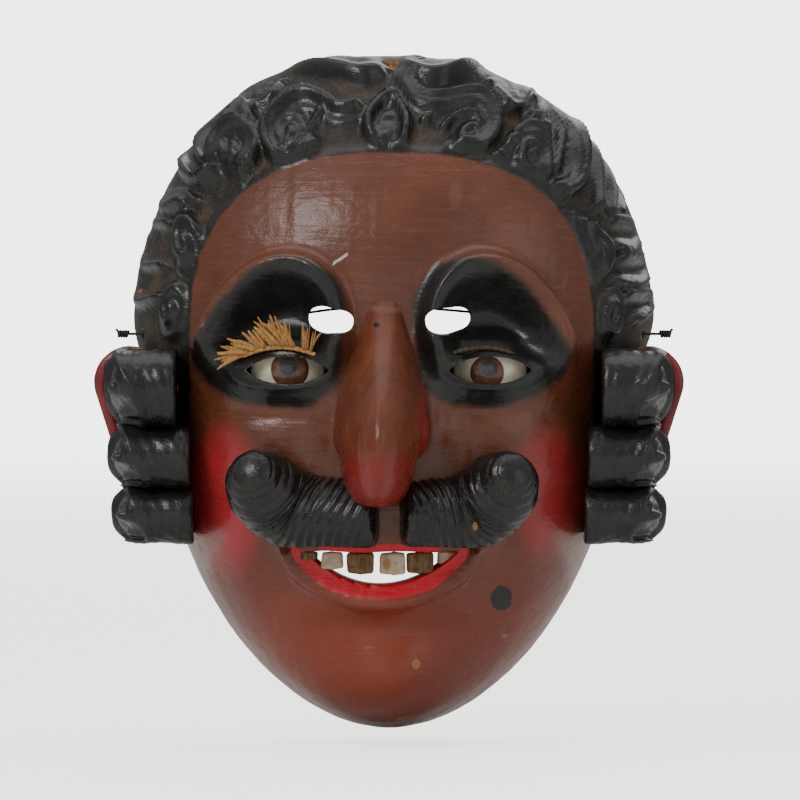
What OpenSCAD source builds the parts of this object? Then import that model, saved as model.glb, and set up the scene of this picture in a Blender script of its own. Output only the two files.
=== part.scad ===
// A carved and painted folk mask: a hollow wooden head with a pegged-on nose, moustache, sideburns, ears and
// teeth. The face looks along -Y, +X is to the viewer's right and +Z is up. The back rim lies in the plane y = 0.

/* [Head] */
// Height from the crown of the hair to the chin
head_h = 228; // [180:1:280]
// Width across the hair at the temples
hair_w = 174; // [140:1:220]
// Width across the cheeks, where the skin is narrower than the hair
jaw_w = 156; // [120:1:200]
// Depth from the back rim to the middle of the face
face_d = 81; // [60:1:100]
// Thickness of the wood behind the face
wall = 10; // [6:1:14]
// How far the hair stands above the skin
hair_rise = 3.5; // [1:0.5:6]

/* [Eyes] */
// Height of the eye centres above the middle of the head
eye_z = 7; // [0:0.5:15]
// Distance between the two eye centres
eye_spacing = 67; // [58:0.5:72]
// Width of the almond opening between the lids
lid_w = 27; // [20:0.5:34]
// Height of the almond opening between the lids
lid_h = 9; // [5:0.5:14]
// Radius of the ball that the glass eye is a cap of
eyeball_r = 17; // [14:0.5:20]
// Radius of the bored socket behind the lids
socket_r = 12.4; // [10:0.1:14]
// Width of each see-through hole
peep_w = 17; // [10:0.5:22]
// Height of each see-through hole
peep_h = 9.5; // [5:0.5:12]
// Distance of each see-through hole from the middle of the face
peep_x = 19.3; // [14:0.1:26]
// Height of the see-through holes
peep_z = 24.5; // [18:0.5:30]

/* [Nose] */
// Height of the nose's top
nose_top_z = 31; // [20:1:40]
// Height of the nose's underside
nose_bottom_z = -36; // [-45:1:-25]
// Half width of the drop at its widest
nose_half_w = 13.6; // [10:0.2:18]
// Depth of the nose's tip in front of the back rim
nose_tip_d = 122; // [100:1:140]
// Sideways offset of the nose's lower end
nose_lean = -4; // [-8:0.5:8]

/* [Moustache] */
// Angle at which each half sweeps back over the cheek
moustache_sweep = 18; // [5:1:25]
// Radius of the curled cone at its root
cone_r = 10.4; // [7:0.2:14]
// How far the cone's tip stands in front of its seat
cone_reach = 31; // [20:1:40]

/* [Mouth and teeth] */
// Half width of the mouth opening
mouth_half_w = 29.5; // [20:1:34]
// Height of the straight upper edge of the mouth
mouth_top_z = -52; // [-60:0.5:-45]
// Drop of the lower lip's edge below the upper edge
mouth_drop = 11; // [6:0.5:16]
// Width of one tooth
tooth_w = 7; // [4:0.5:9]
// Thickness of one tooth from front to back
tooth_t = 4.5; // [3:0.5:7]

/* [Sideburns and ears] */
// Height of the top of the sideburns
sideburn_top_z = 14.5; // [5:0.5:20]
// Distance from the middle of the face to the sideburns' inner edges
sideburn_inner_x = 68; // [60:0.5:75]
// Distance from the middle of the face to the sideburns' outer ends
sideburn_outer_x = 96; // [88:0.5:105]
// Distance from the middle of the face to the ears' outer rims
ear_outer_x = 98.5; // [90:0.5:110]
// Thickness of an ear
ear_t = 7; // [4:0.5:10]

/* [Hanging wire] */
// Radius of the wire
wire_r = 0.45; // [0.3:0.05:0.8]
// Radius of each hole drilled through a temple
temple_hole_r = 1.75; // [1.2:0.05:2.5]
// Height of the temple holes
temple_z = 19; // [12:0.5:26]
// Distance of the temple holes in front of the back rim
temple_d = 28; // [18:1:38]
// How far the middle of the wire stands off the line through the holes
wire_bow = 9; // [4:0.5:14]
// Radius of the tie hole in the crown
tie_hole_r = 3; // [2:0.1:4]

/* [Hidden] */
around = 96;
outer_rows = 40;
inner_rows = 12;
fine = 64;
half_h = head_h / 2;
peg_fit = 0.1;
nose_peg_r = 3;
moustache_peg_r = 2.5;
small_peg_r = 2;

skin = [0.42, 0.16, 0.1];
black = [0.08, 0.08, 0.08];
red = [0.6, 0.08, 0.08];
gold = [0.55, 0.38, 0.14];
cream = [0.85, 0.78, 0.68];
glassy = [0.85, 0.82, 0.74];
wax = [0.32, 0.2, 0.1];
straw = [0.75, 0.55, 0.28];
steel = [0.25, 0.24, 0.23];
bare_wood = [0.7, 0.5, 0.32];

// ---- shape of the carved head ----

// 0 below lo, 1 above hi, and smooth between
function ease(lo, hi, v) = let (t = min(1, max(0, (v - lo) / (hi - lo)))) t * t * (3 - 2 * t);

// Distance of the outline from the middle of the head, in the direction phi
function outline(phi) =
    let (
        up = ease(-0.1, 0.3, sin(phi)),
        half_w = jaw_w / 2 + (hair_w - jaw_w) / 2 * up,
        half_tall = head_h / 2 - 2 * up,
        power = 1.88 + 0.47 * up
    )
    1 / pow(pow(abs(cos(phi)) / half_w, power) + pow(abs(sin(phi)) / half_tall, power), 1 / power);

// A rounded hill of the given height, centred on (cx, cz)
function hill(x, z, cx, cz, sx, sz, height) =
    height * exp(-pow((x - cx) / sx, 2) - pow((z - cz) / sz, 2));

// 1 where the hair covers the head, 0 on the skin
function hair_cover(x, z) =
    let (above = max(0, z - 20))
    ease(0.93, 1.05, pow(pow(abs(x) / 67, 2.5) + pow(above / 60, 2.5), 0.4)) * ease(-50, -40, z);

// Rounded locks of hair, side by side round the head
function locks(x, z) =
    let (
        turn = atan2(z - 20, x),
        out = norm([x / 67, (z - 20) / 60]),
        row = 14 * out
    )
    1.6 * cos(turn * 15 + 90 * sin(row * 57)) * ease(1.02, 1.2, out);

// How far the carving stands above the plain egg of the head at (x, z), for x measured outwards on each side
function carving(x, z) =
    let (
        side = abs(x + 2),
        ring = norm([(side - 37) / 25, (z - 16) / 30]),
        above_eye = ease(8, 18, z)
    )
    6.5 * exp(-pow((ring - 1) * 5, 2)) * above_eye
    - 8.5 * (1 - ease(0.45, 0.95, ring)) * above_eye
    + hill(side, z, 34, 6, 22, 13, 5)
    + hill(side, z, 34, 16, 18, 3.6, 5)
    - hill(side, z, 35, -6, 17, 6, 2.5)
    + hill(side, z, 46, -22, 17, 20, 4.5)
    + hill(side, z, 18, -10, 6, 10, 4)
    + hill(x, z, -2, -44, 34, 16, 5)
    + hill(x, z, -2, -69, 27, 6, 5.5)
    - hill(x, z, -2, -78, 20, 5, 2)
    + hill(x, z, -3, -92, 24, 15, 14)
    + hill(x, z, 0, 55, 42, 24, 3);

// A point of the outer surface: turn is 0 at the front and 90 at the rim
function outer_point(phi, turn) =
    let (
        reach = outline(phi),
        across = reach * pow(sin(turn), 0.85),
        x = across * cos(phi),
        z = across * sin(phi),
        y = -face_d * pow(cos(turn), 0.8),
        normal = [x / pow(reach, 2), y / pow(face_d, 2), z / pow(reach, 2)],
        facing = ease(0.05, 0.5, cos(turn)),
        hair = hair_cover(x, z) * (hair_rise + locks(x, z)) * ease(0, 0.25, cos(turn)),
        rise = carving(x, z) * facing + hair
    )
    [x, y, z] + normal / norm(normal) * rise;

// A point of the hollow's surface
function inner_point(phi, turn) =
    let (across = (outline(phi) - wall) * pow(sin(turn), 0.85))
    [across * cos(phi), -(face_d - wall - 3) * pow(cos(turn), 0.8), across * sin(phi)];

// A closed solid through a list of rings with the same number of points
module loft(rings) {
    count = len(rings[0]);
    last = len(rings) - 1;
    points = [for (ring = rings) each ring];
    sides = [for (j = [0 : last - 1], i = [0 : count - 1], half = [0, 1])
        let (
            here = j * count + i,
            next = j * count + (i + 1) % count
        )
        let (flip = i < count / 4 || i >= 3 * count / 4)
        flip ? (half == 0 ? [here, next, here + count] : [next, next + count, here + count])
             : (half == 0 ? [here, next, next + count] : [here, next + count, here + count])];
    first_cap = [[for (i = [count - 1 : -1 : 0]) i]];
    last_cap = [[for (i = [0 : count - 1]) last * count + i]];
    polyhedron(points, concat(sides, first_cap, last_cap), convexity = 8);
}

// The head with its hollow, before anything is cut into it; the rim runs 2 mm past the back plane
module head_blank() {
    step = 360 / around;
    outer = [for (j = [0 : outer_rows])
        let (turn = 2 + 88 * pow(j / outer_rows, 0.85))
        [for (i = [0 : around - 1]) outer_point(i * step, turn)]];
    rim = [[for (i = [0 : around - 1]) outer_point(i * step, 90) + [0, 2, 0]],
           [for (i = [0 : around - 1]) inner_point(i * step, 90) + [0, 2, 0]]];
    inner = [for (j = [inner_rows : -1 : 0])
        let (turn = 3 + 87 * j / inner_rows)
        [for (i = [0 : around - 1]) inner_point(i * step, turn)]];
    loft(concat(outer, rim, inner));
}

// ---- places on the head ----

module mirrored(side) {
    if (side < 0) mirror([1, 0, 0]) children();
    else children();
}

// A round bar along Y from depth d0 to depth d1 in front of the back plane
module bar_y(r, x, z, d0, d1) {
    translate([x, -d0, z]) rotate([90, 0, 0]) cylinder(r = r, h = d1 - d0, $fn = fine);
}

// The flat seat of a moustache half: its origin is at the lip, -Y leaves the face
seat_x = 5;
seat_d = face_d - 1;
module moustache_seat(side) {
    mirrored(side) translate([seat_x, -seat_d, mouth_top_z]) rotate([0, 0, moustache_sweep]) children();
}

// The flat seat of a sideburn and ear: X runs backwards along the seat, -Y leaves the head
temple_seat_angle = 64;
module temple_seat(side) {
    mirrored(side) translate([65, -57, 0]) rotate([0, 0, temple_seat_angle]) children();
}

module almond(depth) {
    corner = lid_w / 2;
    bulge_r = (corner * corner + lid_h * lid_h / 4) / lid_h;
    rotate([90, 0, 0]) linear_extrude(height = depth) intersection() {
        translate([0, bulge_r - lid_h / 2]) circle(r = bulge_r, $fn = 2 * fine);
        translate([0, lid_h / 2 - bulge_r]) circle(r = bulge_r, $fn = 2 * fine);
    }
}

module peep_hole(side) {
    half = (peep_w - peep_h) / 2;
    mirrored(side) translate([peep_x, -face_d - 20, peep_z]) rotate([0, -8, 0]) rotate([-90, 0, 0]) {
        translate([-half, 0, 0]) cylinder(r = peep_h / 2, h = 50, $fn = fine);
        translate([half, 0, 0]) cylinder(r = peep_h / 2, h = 50, $fn = fine);
        translate([-half, -peep_h / 2, 0]) cube([2 * half, peep_h, 50]);
    }
}

eye_front_d = face_d - 5;
lid_back_d = eye_front_d - 7;
eyeball_d = eye_front_d - eyeball_r;
eye_back_d = lid_back_d - 2;
wax_t = 7;

module eye_cut(side) {
    x = side * eye_spacing / 2;
    bar_y(socket_r, x, eye_z, 50, lid_back_d);
    intersection() {
        translate([x, -eyeball_d, eye_z]) sphere(r = eyeball_r + 0.2, $fn = fine);
        bar_y(socket_r, x, eye_z, lid_back_d - 1, 90);
    }
    translate([x, -lid_back_d, eye_z]) almond(30);
}

// The smile: a straight upper edge and a round lower one
module mouth_outline() {
    r = (mouth_half_w * mouth_half_w + mouth_drop * mouth_drop) / (2 * mouth_drop);
    translate([mouth_mid_x, mouth_top_z]) intersection() {
        translate([0, r - mouth_drop]) circle(r = r, $fn = 4 * fine);
        translate([-mouth_half_w, -mouth_drop]) square([2 * mouth_half_w, mouth_drop]);
    }
}

module mouth_cut() {
    translate([0, -55, 0]) rotate([90, 0, 0]) linear_extrude(height = 60) mouth_outline();
}

// ---- nose ----

nose_seat_d = 76;

// Half width of the nose at height t, from 0 at the bridge to 1 at the underside
function nose_half(t) = let (drop = ease(0.15, 0.72, t)) (8 + (nose_half_w - 8) * drop);

function nose_front(t) = face_d + 5 + (nose_tip_d - face_d - 6) * ease(-0.1, 0.8, t);

module nose_form(grow) {
    rows = 26;
    cols = 28;
    rings = [for (j = [0 : rows])
        let (
            angle = 180 * j / rows,
            t = (1 - cos(angle)) / 2,
            z = nose_top_z + (nose_bottom_z - nose_top_z) * t,
            round_end = pow(max(0.02, sin(angle)), t > 0.5 ? 0.75 : 0.45),
            half = nose_half(t) * round_end + grow,
            front = (nose_front(t) - nose_seat_d) * round_end,
            x = -1 + (nose_lean + 1) * t
        )
        [for (i = [0 : cols - 1])
            let (a = 180 * i / (cols - 1))
            [x - half * cos(a), -nose_seat_d - front * pow(sin(a), 0.8), z]]];
    loft(rings);
}

module nose_pocket() {
    translate([0, -nose_seat_d, 0]) rotate([90, 0, 0]) linear_extrude(height = 60) hull() {
        translate([-1, nose_top_z - 9.4]) circle(r = 9.9, $fn = fine);
        translate([nose_lean, nose_bottom_z + 13.5]) circle(r = nose_half_w + 1.4, $fn = fine);
    }
}

nose_peg_z = [16, -16];
module nose_peg_bars(r) {
    for (z = nose_peg_z) bar_y(r, -2, z, nose_seat_d - 4, nose_seat_d + 7);
}

// ---- moustache ----

half_len = 46;
curl_x = 32;
curl_z = 25;
module moustache_half(side) {
    difference() {
        moustache_seat(side) difference() {
            union() {
                hull() {
                    translate([10, -2, 12]) sphere(r = 12, $fn = 32);
                    translate([18, -3, 13]) sphere(r = 13, $fn = 32);
                    translate([curl_x - 6, -4, 15]) sphere(r = 13, $fn = 32);
                }
                hull() {
                    translate([curl_x - 4, -5, 17]) sphere(r = 11.5, $fn = 32);
                    translate([curl_x, -14, curl_z]) sphere(r = cone_r, $fn = 32);
                }
                translate([curl_x, -14, curl_z]) rotate([93, 0, -moustache_sweep]) {
                    cylinder(r1 = cone_r, r2 = 4, h = cone_reach - 18, $fn = fine);
                    translate([0, 0, cone_reach - 18]) sphere(r = 4.1, $fn = fine);
                }
            }
            translate([-60, 0, -60]) cube([160, 60, 160]);
            translate([-60, -60, -60]) cube([160, 120, 60]);
        }
        nose_clearance();
        moustache_peg(side, moustache_peg_r + peg_fit);
    }
}

// Keeps the moustache clear of the nose
module nose_clearance() {
    translate([nose_lean, -nose_seat_d, nose_bottom_z + 13.5]) rotate([90, 0, 0])
        cylinder(r = nose_half_w + 1, h = 60, $fn = fine);
}

module moustache_pocket(side) {
    moustache_seat(side) translate([-2, -30, 0]) cube([half_len + 9, 30, 38]);
}

module moustache_peg(side, r) {
    moustache_seat(side) translate([20, 6, 11]) rotate([90, 0, 0]) cylinder(r = r, h = 13, $fn = fine);
}

// ---- teeth ----

tooth_x = [-26.4, -18.7, -9.4, 1.2, 10.3, 19.5];
tooth_len = [2.7, 5.4, 7, 7.2, 6.8, 3.2];
tooth_wide = [0.75, 0.95, 1.15, 1.1, 1.15, 0.8];
tooth_front_d = face_d - 3;
tenon_r = 1.5;
tenon_h = 6;
mouth_mid_x = -3;

// The row of teeth curves back towards the corners of the mouth
function tooth_y(x) = tooth_t / 2 - tooth_front_d + 0.009 * pow(x - mouth_mid_x, 2);

module tooth(i) {
    w = tooth_w * tooth_wide[i];
    translate([tooth_x[i], tooth_y(tooth_x[i]), mouth_top_z]) {
        translate([-w / 2, -tooth_t / 2, -tooth_len[i]]) cube([w, tooth_t, tooth_len[i]]);
        translate([0, 0, -0.5]) cylinder(r = tenon_r, h = tenon_h + 0.5, $fn = fine);
    }
}

module tenon_holes() {
    for (x = tooth_x)
        translate([x, tooth_y(x), mouth_top_z - 1])
            cylinder(r = tenon_r + peg_fit, h = tenon_h + 1.3, $fn = fine);
}

// ---- sideburns and ears ----

roll_top = [0, 25.5, 45.8];
roll_h = [25.5, 20.3, 18.4];
roll_d = [63, 61, 58];
sideburn_back_d = 34;

module sideburn(side) {
    difference() {
        mirrored(side) for (i = [0 : 2]) {
            r = roll_h[i] / 2 + 0.2;
            z = sideburn_top_z - roll_top[i] - roll_h[i] / 2;
            out = sideburn_outer_x - 3 * i;
            translate([sideburn_inner_x, -roll_d[i], z]) rotate([0, 90, 0])
                cylinder(r = r, h = out - sideburn_inner_x, $fn = fine);
            translate([sideburn_inner_x, -roll_d[i], z - r + 1.5])
                cube([out - sideburn_inner_x - 7, roll_d[i] - sideburn_back_d, 2 * r - 3]);
            translate([out, -roll_d[i] - 1, z]) rotate([0, 90, 0])
                cylinder(r1 = r * 0.42, r2 = r * 0.25, h = 2.2, $fn = fine);
        }
        temple_seat(side) translate([-40, 0, -80]) cube([120, 60, 160]);
        for (z = sideburn_peg_z) sideburn_peg(side, z, small_peg_r + peg_fit);
    }
}

sideburn_peg_z = [2, -30];
module sideburn_peg(side, z, r) {
    temple_seat(side) translate([13, 5, z]) rotate([90, 0, 0]) cylinder(r = r, h = 12, $fn = fine);
}

ear_front_d = sideburn_back_d - 0.4;
module ear_outline() {
    hull() {
        translate([ear_outer_x - 12, 3]) circle(r = 12, $fn = fine);
        translate([ear_outer_x - 15.5, -18]) circle(r = 9, $fn = fine);
        translate([72, -2]) circle(r = 12, $fn = fine);
    }
}

module ear(side) {
    difference() {
        mirrored(side) translate([0, ear_t - ear_front_d, 0]) rotate([90, 0, 0])
            linear_extrude(height = ear_t) ear_outline();
        mirrored(side) translate([ear_outer_x - 11.5, 0, -3]) rotate([90, 0, 0])
            cylinder(r = 6.5, h = ear_front_d - ear_t * 0.45, $fn = fine);
        temple_seat(side) translate([-40, 0, -80]) cube([120, 60, 160]);
        ear_peg(side, small_peg_r + peg_fit);
    }
}

module ear_peg(side, r) {
    mirrored(side) translate([72, ear_t / 2 - ear_front_d, -8]) rotate([0, 90, 0])
        cylinder(r = r, h = 14, $fn = fine);
}

module temple_pad(side) {
    temple_seat(side) translate([-8, -30, -52]) cube([53, 30, sideburn_top_z + 52.4]);
}

// ---- lashes ----

lash_tube_r = 0.8;
fibre_r = 0.35;
fibre_len = [6, 9, 7, 8, 5, 9, 10, 6, 8, 9, 5, 7, 5, 4];

lash_r = 29.8;
lash_centre_z = -14.2;
lash_x = 35.5;
lash_d = 77.8;
lash_slope = 17;

// Where the strips lie: the origin is the centre of their arc, -Y leaves the lid
module lash_place(side, x) {
    depth = lash_d + (lash_x - x) * tan(lash_slope);
    mirrored(side) translate([x, -depth, lash_centre_z]) rotate([0, 0, lash_slope]) children();
}

module lash_arc(side, x, half_angle, r) {
    lash_place(side, x) rotate([90, 0, 0]) rotate([0, 0, 90 - half_angle])
        rotate_extrude(angle = 2 * half_angle, $fn = 2 * fine)
            translate([lash_r, 0]) circle(r = r, $fn = 24);
}

left_half_angle = 28;
right_half_angle = 22;
lash_right_x = 31;
module lash_grooves() {
    lash_arc(-1, lash_x, left_half_angle + 0.5, lash_tube_r + peg_fit);
    lash_arc(1, lash_right_x, right_half_angle + 0.5, lash_tube_r + peg_fit);
}

module lash_strip(side, x, half_angle) {
    color(straw) lash_arc(side, x, half_angle, lash_tube_r);
}

// One fibre: tilt places it along the strip and lean slants it. It stands on the strip with its edge just clear
fibre_throw = 25;
fibre_clear = 0.2;
module lash_fibre(tilt, lean, length) {
    lash_place(-1, lash_x) rotate([0, tilt, 0])
        translate([0, 0, lash_r + lash_tube_r + fibre_clear]) rotate([fibre_throw, 0, 0]) rotate([0, lean, 0])
            cylinder(r1 = fibre_r, r2 = fibre_r * 0.3, h = length, $fn = 16);
}

// ---- hanging wire ----

wire_half_len = 86;
stub_len = 7;
wrap_x = 91;
wrap_count = 4;

arch_x = 62;

// The wire: a shallow arch between straight ends that lie along the line through the holes
module hanging_bail(r) {
    arch_r = (arch_x * arch_x + wire_bow * wire_bow) / (2 * wire_bow);
    half_angle = asin(arch_x / arch_r);
    end_r = 1.05 * r;
    translate([0, -temple_d, temple_z + wire_bow - arch_r])
        rotate([90, 0, 0]) rotate([0, 0, 90 - half_angle])
            rotate_extrude(angle = 2 * half_angle, $fn = 4 * fine)
                translate([arch_r, 0]) circle(r = r, $fn = 24);
    for (side = [-1, 1]) mirrored(side)
        translate([arch_x - 0.6, -temple_d, temple_z]) rotate([0, 90, 0])
            cylinder(r = end_r, h = wire_half_len + stub_len - arch_x, $fn = 32);
}

module temple_holes() {
    for (side = [-1, 1]) mirrored(side) translate([60, -temple_d, temple_z]) rotate([0, 90, 0])
        cylinder(r = temple_hole_r, h = 50, $fn = fine);
}

tie_hole_z = half_h - 6;
tie_hole_d = 26;
module tie_hole() {
    translate([0, -tie_hole_d, tie_hole_z]) rotate([45, 0, 0]) translate([0, 0, -30])
        cylinder(r = tie_hole_r, h = 60, $fn = fine);
}

// The turns of the wire's own end wound round it outside each temple
module wire_wraps() {
    pitch = 2.1 * wire_r;
    for (side = [-1, 1], k = [0 : wrap_count - 1])
        mirrored(side) translate([wrap_x + k * pitch, -temple_d, temple_z]) rotate([0, 90, 0])
            rotate_extrude($fn = fine) translate([2 * wire_r + 0.05, 0]) circle(r = wire_r, $fn = 24);
}

// ---- sub-parts ----

module mask_shell() {
    color(skin) difference() {
        head_blank();
        translate([-200, 0, -200]) cube([400, 50, 400]);
        for (side = [-1, 1]) {
            eye_cut(side);
            peep_hole(side);
            moustache_pocket(side);
            moustache_peg(side, moustache_peg_r + peg_fit);
            temple_pad(side);
            for (z = sideburn_peg_z) sideburn_peg(side, z, small_peg_r + peg_fit);
            ear_peg(side, small_peg_r + peg_fit);
        }
        nose_pocket();
        nose_peg_bars(nose_peg_r + peg_fit);
        mouth_cut();
        tenon_holes();
        temple_holes();
        tie_hole();
        lash_grooves();
    }
}

module nose() {
    color(skin) difference() {
        nose_form(0);
        nose_peg_bars(nose_peg_r + peg_fit);
    }
}

module nose_pegs() {
    color(bare_wood) nose_peg_bars(nose_peg_r);
}

module moustache_left() {
    color(black) moustache_half(-1);
}

module moustache_right() {
    color(black) moustache_half(1);
}

module moustache_pegs() {
    color(bare_wood) for (side = [-1, 1]) moustache_peg(side, moustache_peg_r);
}

module sideburn_left() {
    color(black) sideburn(-1);
}

module sideburn_right() {
    color(black) sideburn(1);
}

module sideburn_pegs() {
    color(bare_wood) for (side = [-1, 1], z = sideburn_peg_z) sideburn_peg(side, z, small_peg_r);
}

module ear_left() {
    color(red) ear(-1);
}

module ear_right() {
    color(red) ear(1);
}

module ear_pegs() {
    color(bare_wood) for (side = [-1, 1]) ear_peg(side, small_peg_r);
}

module gold_tooth(i) {
    color(gold) tooth(i);
}

module cream_tooth(i) {
    color(cream) tooth(i);
}

module glass_eye(side) {
    x = side * eye_spacing / 2;
    color(glassy) intersection() {
        translate([x, -eyeball_d, eye_z]) sphere(r = eyeball_r, $fn = fine);
        bar_y(socket_r - peg_fit, x, eye_z, eye_back_d, eye_front_d + 5);
    }
}

module wax_seat(side) {
    color(wax) bar_y(socket_r - peg_fit, side * eye_spacing / 2, eye_z, eye_back_d - wax_t, eye_back_d);
}

module lash_fibres_left() {
    last = len(fibre_len) - 1;
    spread = left_half_angle - 1;
    color(straw) for (i = [0 : last])
        lash_fibre(spread * (2 * i / last - 1), 14 * sin(i * 137), fibre_len[i]);
}

module hanging_wire() {
    color(steel) hanging_bail(wire_r);
}

module wire_twists() {
    color(steel) wire_wraps();
}

mask_shell();
nose();
nose_pegs();
moustache_left();
moustache_right();
moustache_pegs();
sideburn_left();
sideburn_right();
sideburn_pegs();
ear_left();
ear_right();
ear_pegs();
gold_tooth(0);  // tooth_1
cream_tooth(1);  // tooth_2
gold_tooth(2);  // tooth_3
cream_tooth(3);  // tooth_4
gold_tooth(4);  // tooth_5
cream_tooth(5);  // tooth_6
glass_eye(-1);  // glass_eye_left
glass_eye(1);  // glass_eye_right
wax_seat(-1);  // wax_seat_left
wax_seat(1);  // wax_seat_right
lash_strip(-1, lash_x, left_half_angle);  // lash_strip_left
lash_fibres_left();
lash_strip(1, lash_right_x, right_half_angle);  // lash_strip_right
hanging_wire();
wire_twists();
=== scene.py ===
"""Looks of a carved and painted folk mask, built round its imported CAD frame.
Sizes are in millimetres until a mesh is made: X to the viewer's right, -Y the way the face looks, Z up."""

import math

import bpy
import numpy as np
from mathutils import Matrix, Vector


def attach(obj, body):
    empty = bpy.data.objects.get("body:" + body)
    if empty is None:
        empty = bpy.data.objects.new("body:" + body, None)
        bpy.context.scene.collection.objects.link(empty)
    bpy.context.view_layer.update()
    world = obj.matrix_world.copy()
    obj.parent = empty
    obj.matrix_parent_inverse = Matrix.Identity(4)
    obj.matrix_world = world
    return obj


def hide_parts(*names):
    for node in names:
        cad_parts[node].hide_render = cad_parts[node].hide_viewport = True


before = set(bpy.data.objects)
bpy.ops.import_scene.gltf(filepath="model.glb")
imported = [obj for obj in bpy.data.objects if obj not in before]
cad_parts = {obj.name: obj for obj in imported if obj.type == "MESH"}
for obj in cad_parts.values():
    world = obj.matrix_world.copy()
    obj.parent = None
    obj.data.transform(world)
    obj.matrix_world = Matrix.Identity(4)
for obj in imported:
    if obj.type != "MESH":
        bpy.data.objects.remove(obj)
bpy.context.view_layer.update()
MM = 0.001
TAU = 2 * math.pi

# ---------------------------------------------------------------- sizes shared by shapes and paint
HEAD_H = 228.0
HAIR_W = 174.0
JAW_W = 156.0
FACE_D = 81.0
WALL = 10.0
# In the egg's section the distance from the middle is a sine and the depth a cosine, each to its own power
ACROSS_POWER, DEPTH_POWER = 0.85, 0.8
# How much further out the hair is on the right, and how wide one combed strand is
HAIR_LEAN = 3.5
STRAND = 4.2
# Middle of the ring that carries the brow on its upper edge and the eye socket inside it
RING_X, RING_Z = 37, 15
EYE_X, EYE_Z = 33.5, 8.0
EYE_FRONT_D = FACE_D - 5
EYEBALL_R = 17.0
GLASS_R = 12.15
GLASS_BACK_D = 67.1
LID_FACE_D = 68.8
PEEP_X, PEEP_Z = 19.3, 24.5
MOUTH_X, MOUTH_Z = -3.0, -52.0
MOUTH_HALF_W, MOUTH_DROP = 29.5, 11.0
MOUTH_R = (MOUTH_HALF_W**2 + MOUTH_DROP**2) / (2 * MOUTH_DROP)
TEMPLE_D, TEMPLE_Z = 28.0, 19.0
TEMPLE_HOLE_R = 1.75
WIRE_R = 0.45
# The tie hole slants down and back through the crown along the line on which Y + Z is this
TIE_LINE = 82
TIE_HOLE_R = 3
SIDEBURN_TOP_Z = 14.5
FLOOR_Z = -118


# ---------------------------------------------------------------- small mathematics
def ease(lo, hi, v):
    """0 below lo, 1 above hi, a smooth cubic between."""
    t = np.clip((v - lo) / (hi - lo), 0, 1)
    return t * t * (3 - 2 * t)


def hill(x, z, cx, cz, sx, sz, height):
    """A Gaussian hill of the given height at (cx, cz)."""
    return height * np.exp(-(((x - cx) / sx) ** 2) - ((z - cz) / sz) ** 2)


def smooth_path(points, count):
    """count points along a Catmull-Rom curve through the given points."""
    p = np.array(points, float)
    p = np.vstack([2 * p[0] - p[1], p, 2 * p[-1] - p[-2]])
    u = np.linspace(0, len(p) - 3 - 1e-6, count)
    k = u.astype(int)
    t = (u - k)[:, None]
    a, b, c, d = p[k], p[k + 1], p[k + 2], p[k + 3]
    return 0.5 * (2 * b + (c - a) * t + (2 * a - 5 * b + 4 * c - d) * t**2 + (3 * b - a - 3 * c + d) * t**3)


def stroke_field(x, z, points, count=26):
    """Signed distance of (x, z) from a smooth curve, positive on its left, and how far along it the nearest
    point is, from 0 to 1."""
    path = smooth_path(points, count)
    best = np.full(x.shape, 1e9)
    signed = np.full(x.shape, 1e9)
    along = np.zeros(x.shape)
    for k in range(count - 1):
        ax, az = path[k]
        bx, bz = path[k + 1]
        dx, dz = bx - ax, bz - az
        length = max(math.hypot(dx, dz), 1e-6)
        t = np.clip(((x - ax) * dx + (z - az) * dz) / length**2, 0, 1)
        ox, oz = x - ax - t * dx, z - az - t * dz
        d = np.hypot(ox, oz)
        near = d < best
        best = np.where(near, d, best)
        signed = np.where(near, d * np.sign(dx * oz - dz * ox), signed)
        along = np.where(near, (k + t) / (count - 1), along)
    return signed, along


def waves(p, scale, seed, octaves=3):
    """Smooth unevenness between about -1 and 1: sums of slanted sines at the points p."""
    r = np.random.default_rng(seed)
    total = np.zeros(p.shape[:-1])
    for o in range(octaves):
        for _ in range(4):
            direction = r.normal(size=3)
            direction /= np.linalg.norm(direction)
            total += np.sin(p @ direction * TAU / scale * 2**o + r.uniform(0, TAU)) / 4 / 1.6**o
    return total


# ---------------------------------------------------------------- the carved head
def outline(phi):
    """Distance of the head's outline from its middle in the direction phi."""
    up = ease(-0.1, 0.3, np.sin(phi))
    half_w = JAW_W / 2 + ((HAIR_W - JAW_W) / 2 + HAIR_LEAN * ease(0.3, 0.8, np.cos(phi))) * up
    half_tall = HEAD_H / 2 - 2 * up
    power = 1.88 + 0.47 * up
    return (
        (np.abs(np.cos(phi)) / half_w) ** power + (np.abs(np.sin(phi)) / half_tall) ** power
    ) ** (-1 / power)


def hairline(x, z):
    """Below 1 on the skin and above 1 in the hair: a superellipse over the forehead that goes straight down
    beside the face."""
    above = np.maximum(0, z - 20)
    return ((np.abs(x - 1) / 67) ** 2.5 + (above / 60) ** 2.5) ** 0.4


def brow_ring(x, z):
    """Distance from the middle of the ring round each eye: 0.9 along the brow's arch, less in the
    socket."""
    side = np.abs(x + 1)
    lean = (side - RING_X) * 0.28
    return np.hypot((side - RING_X) / 25, (z - RING_Z + lean) / 30)


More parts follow.
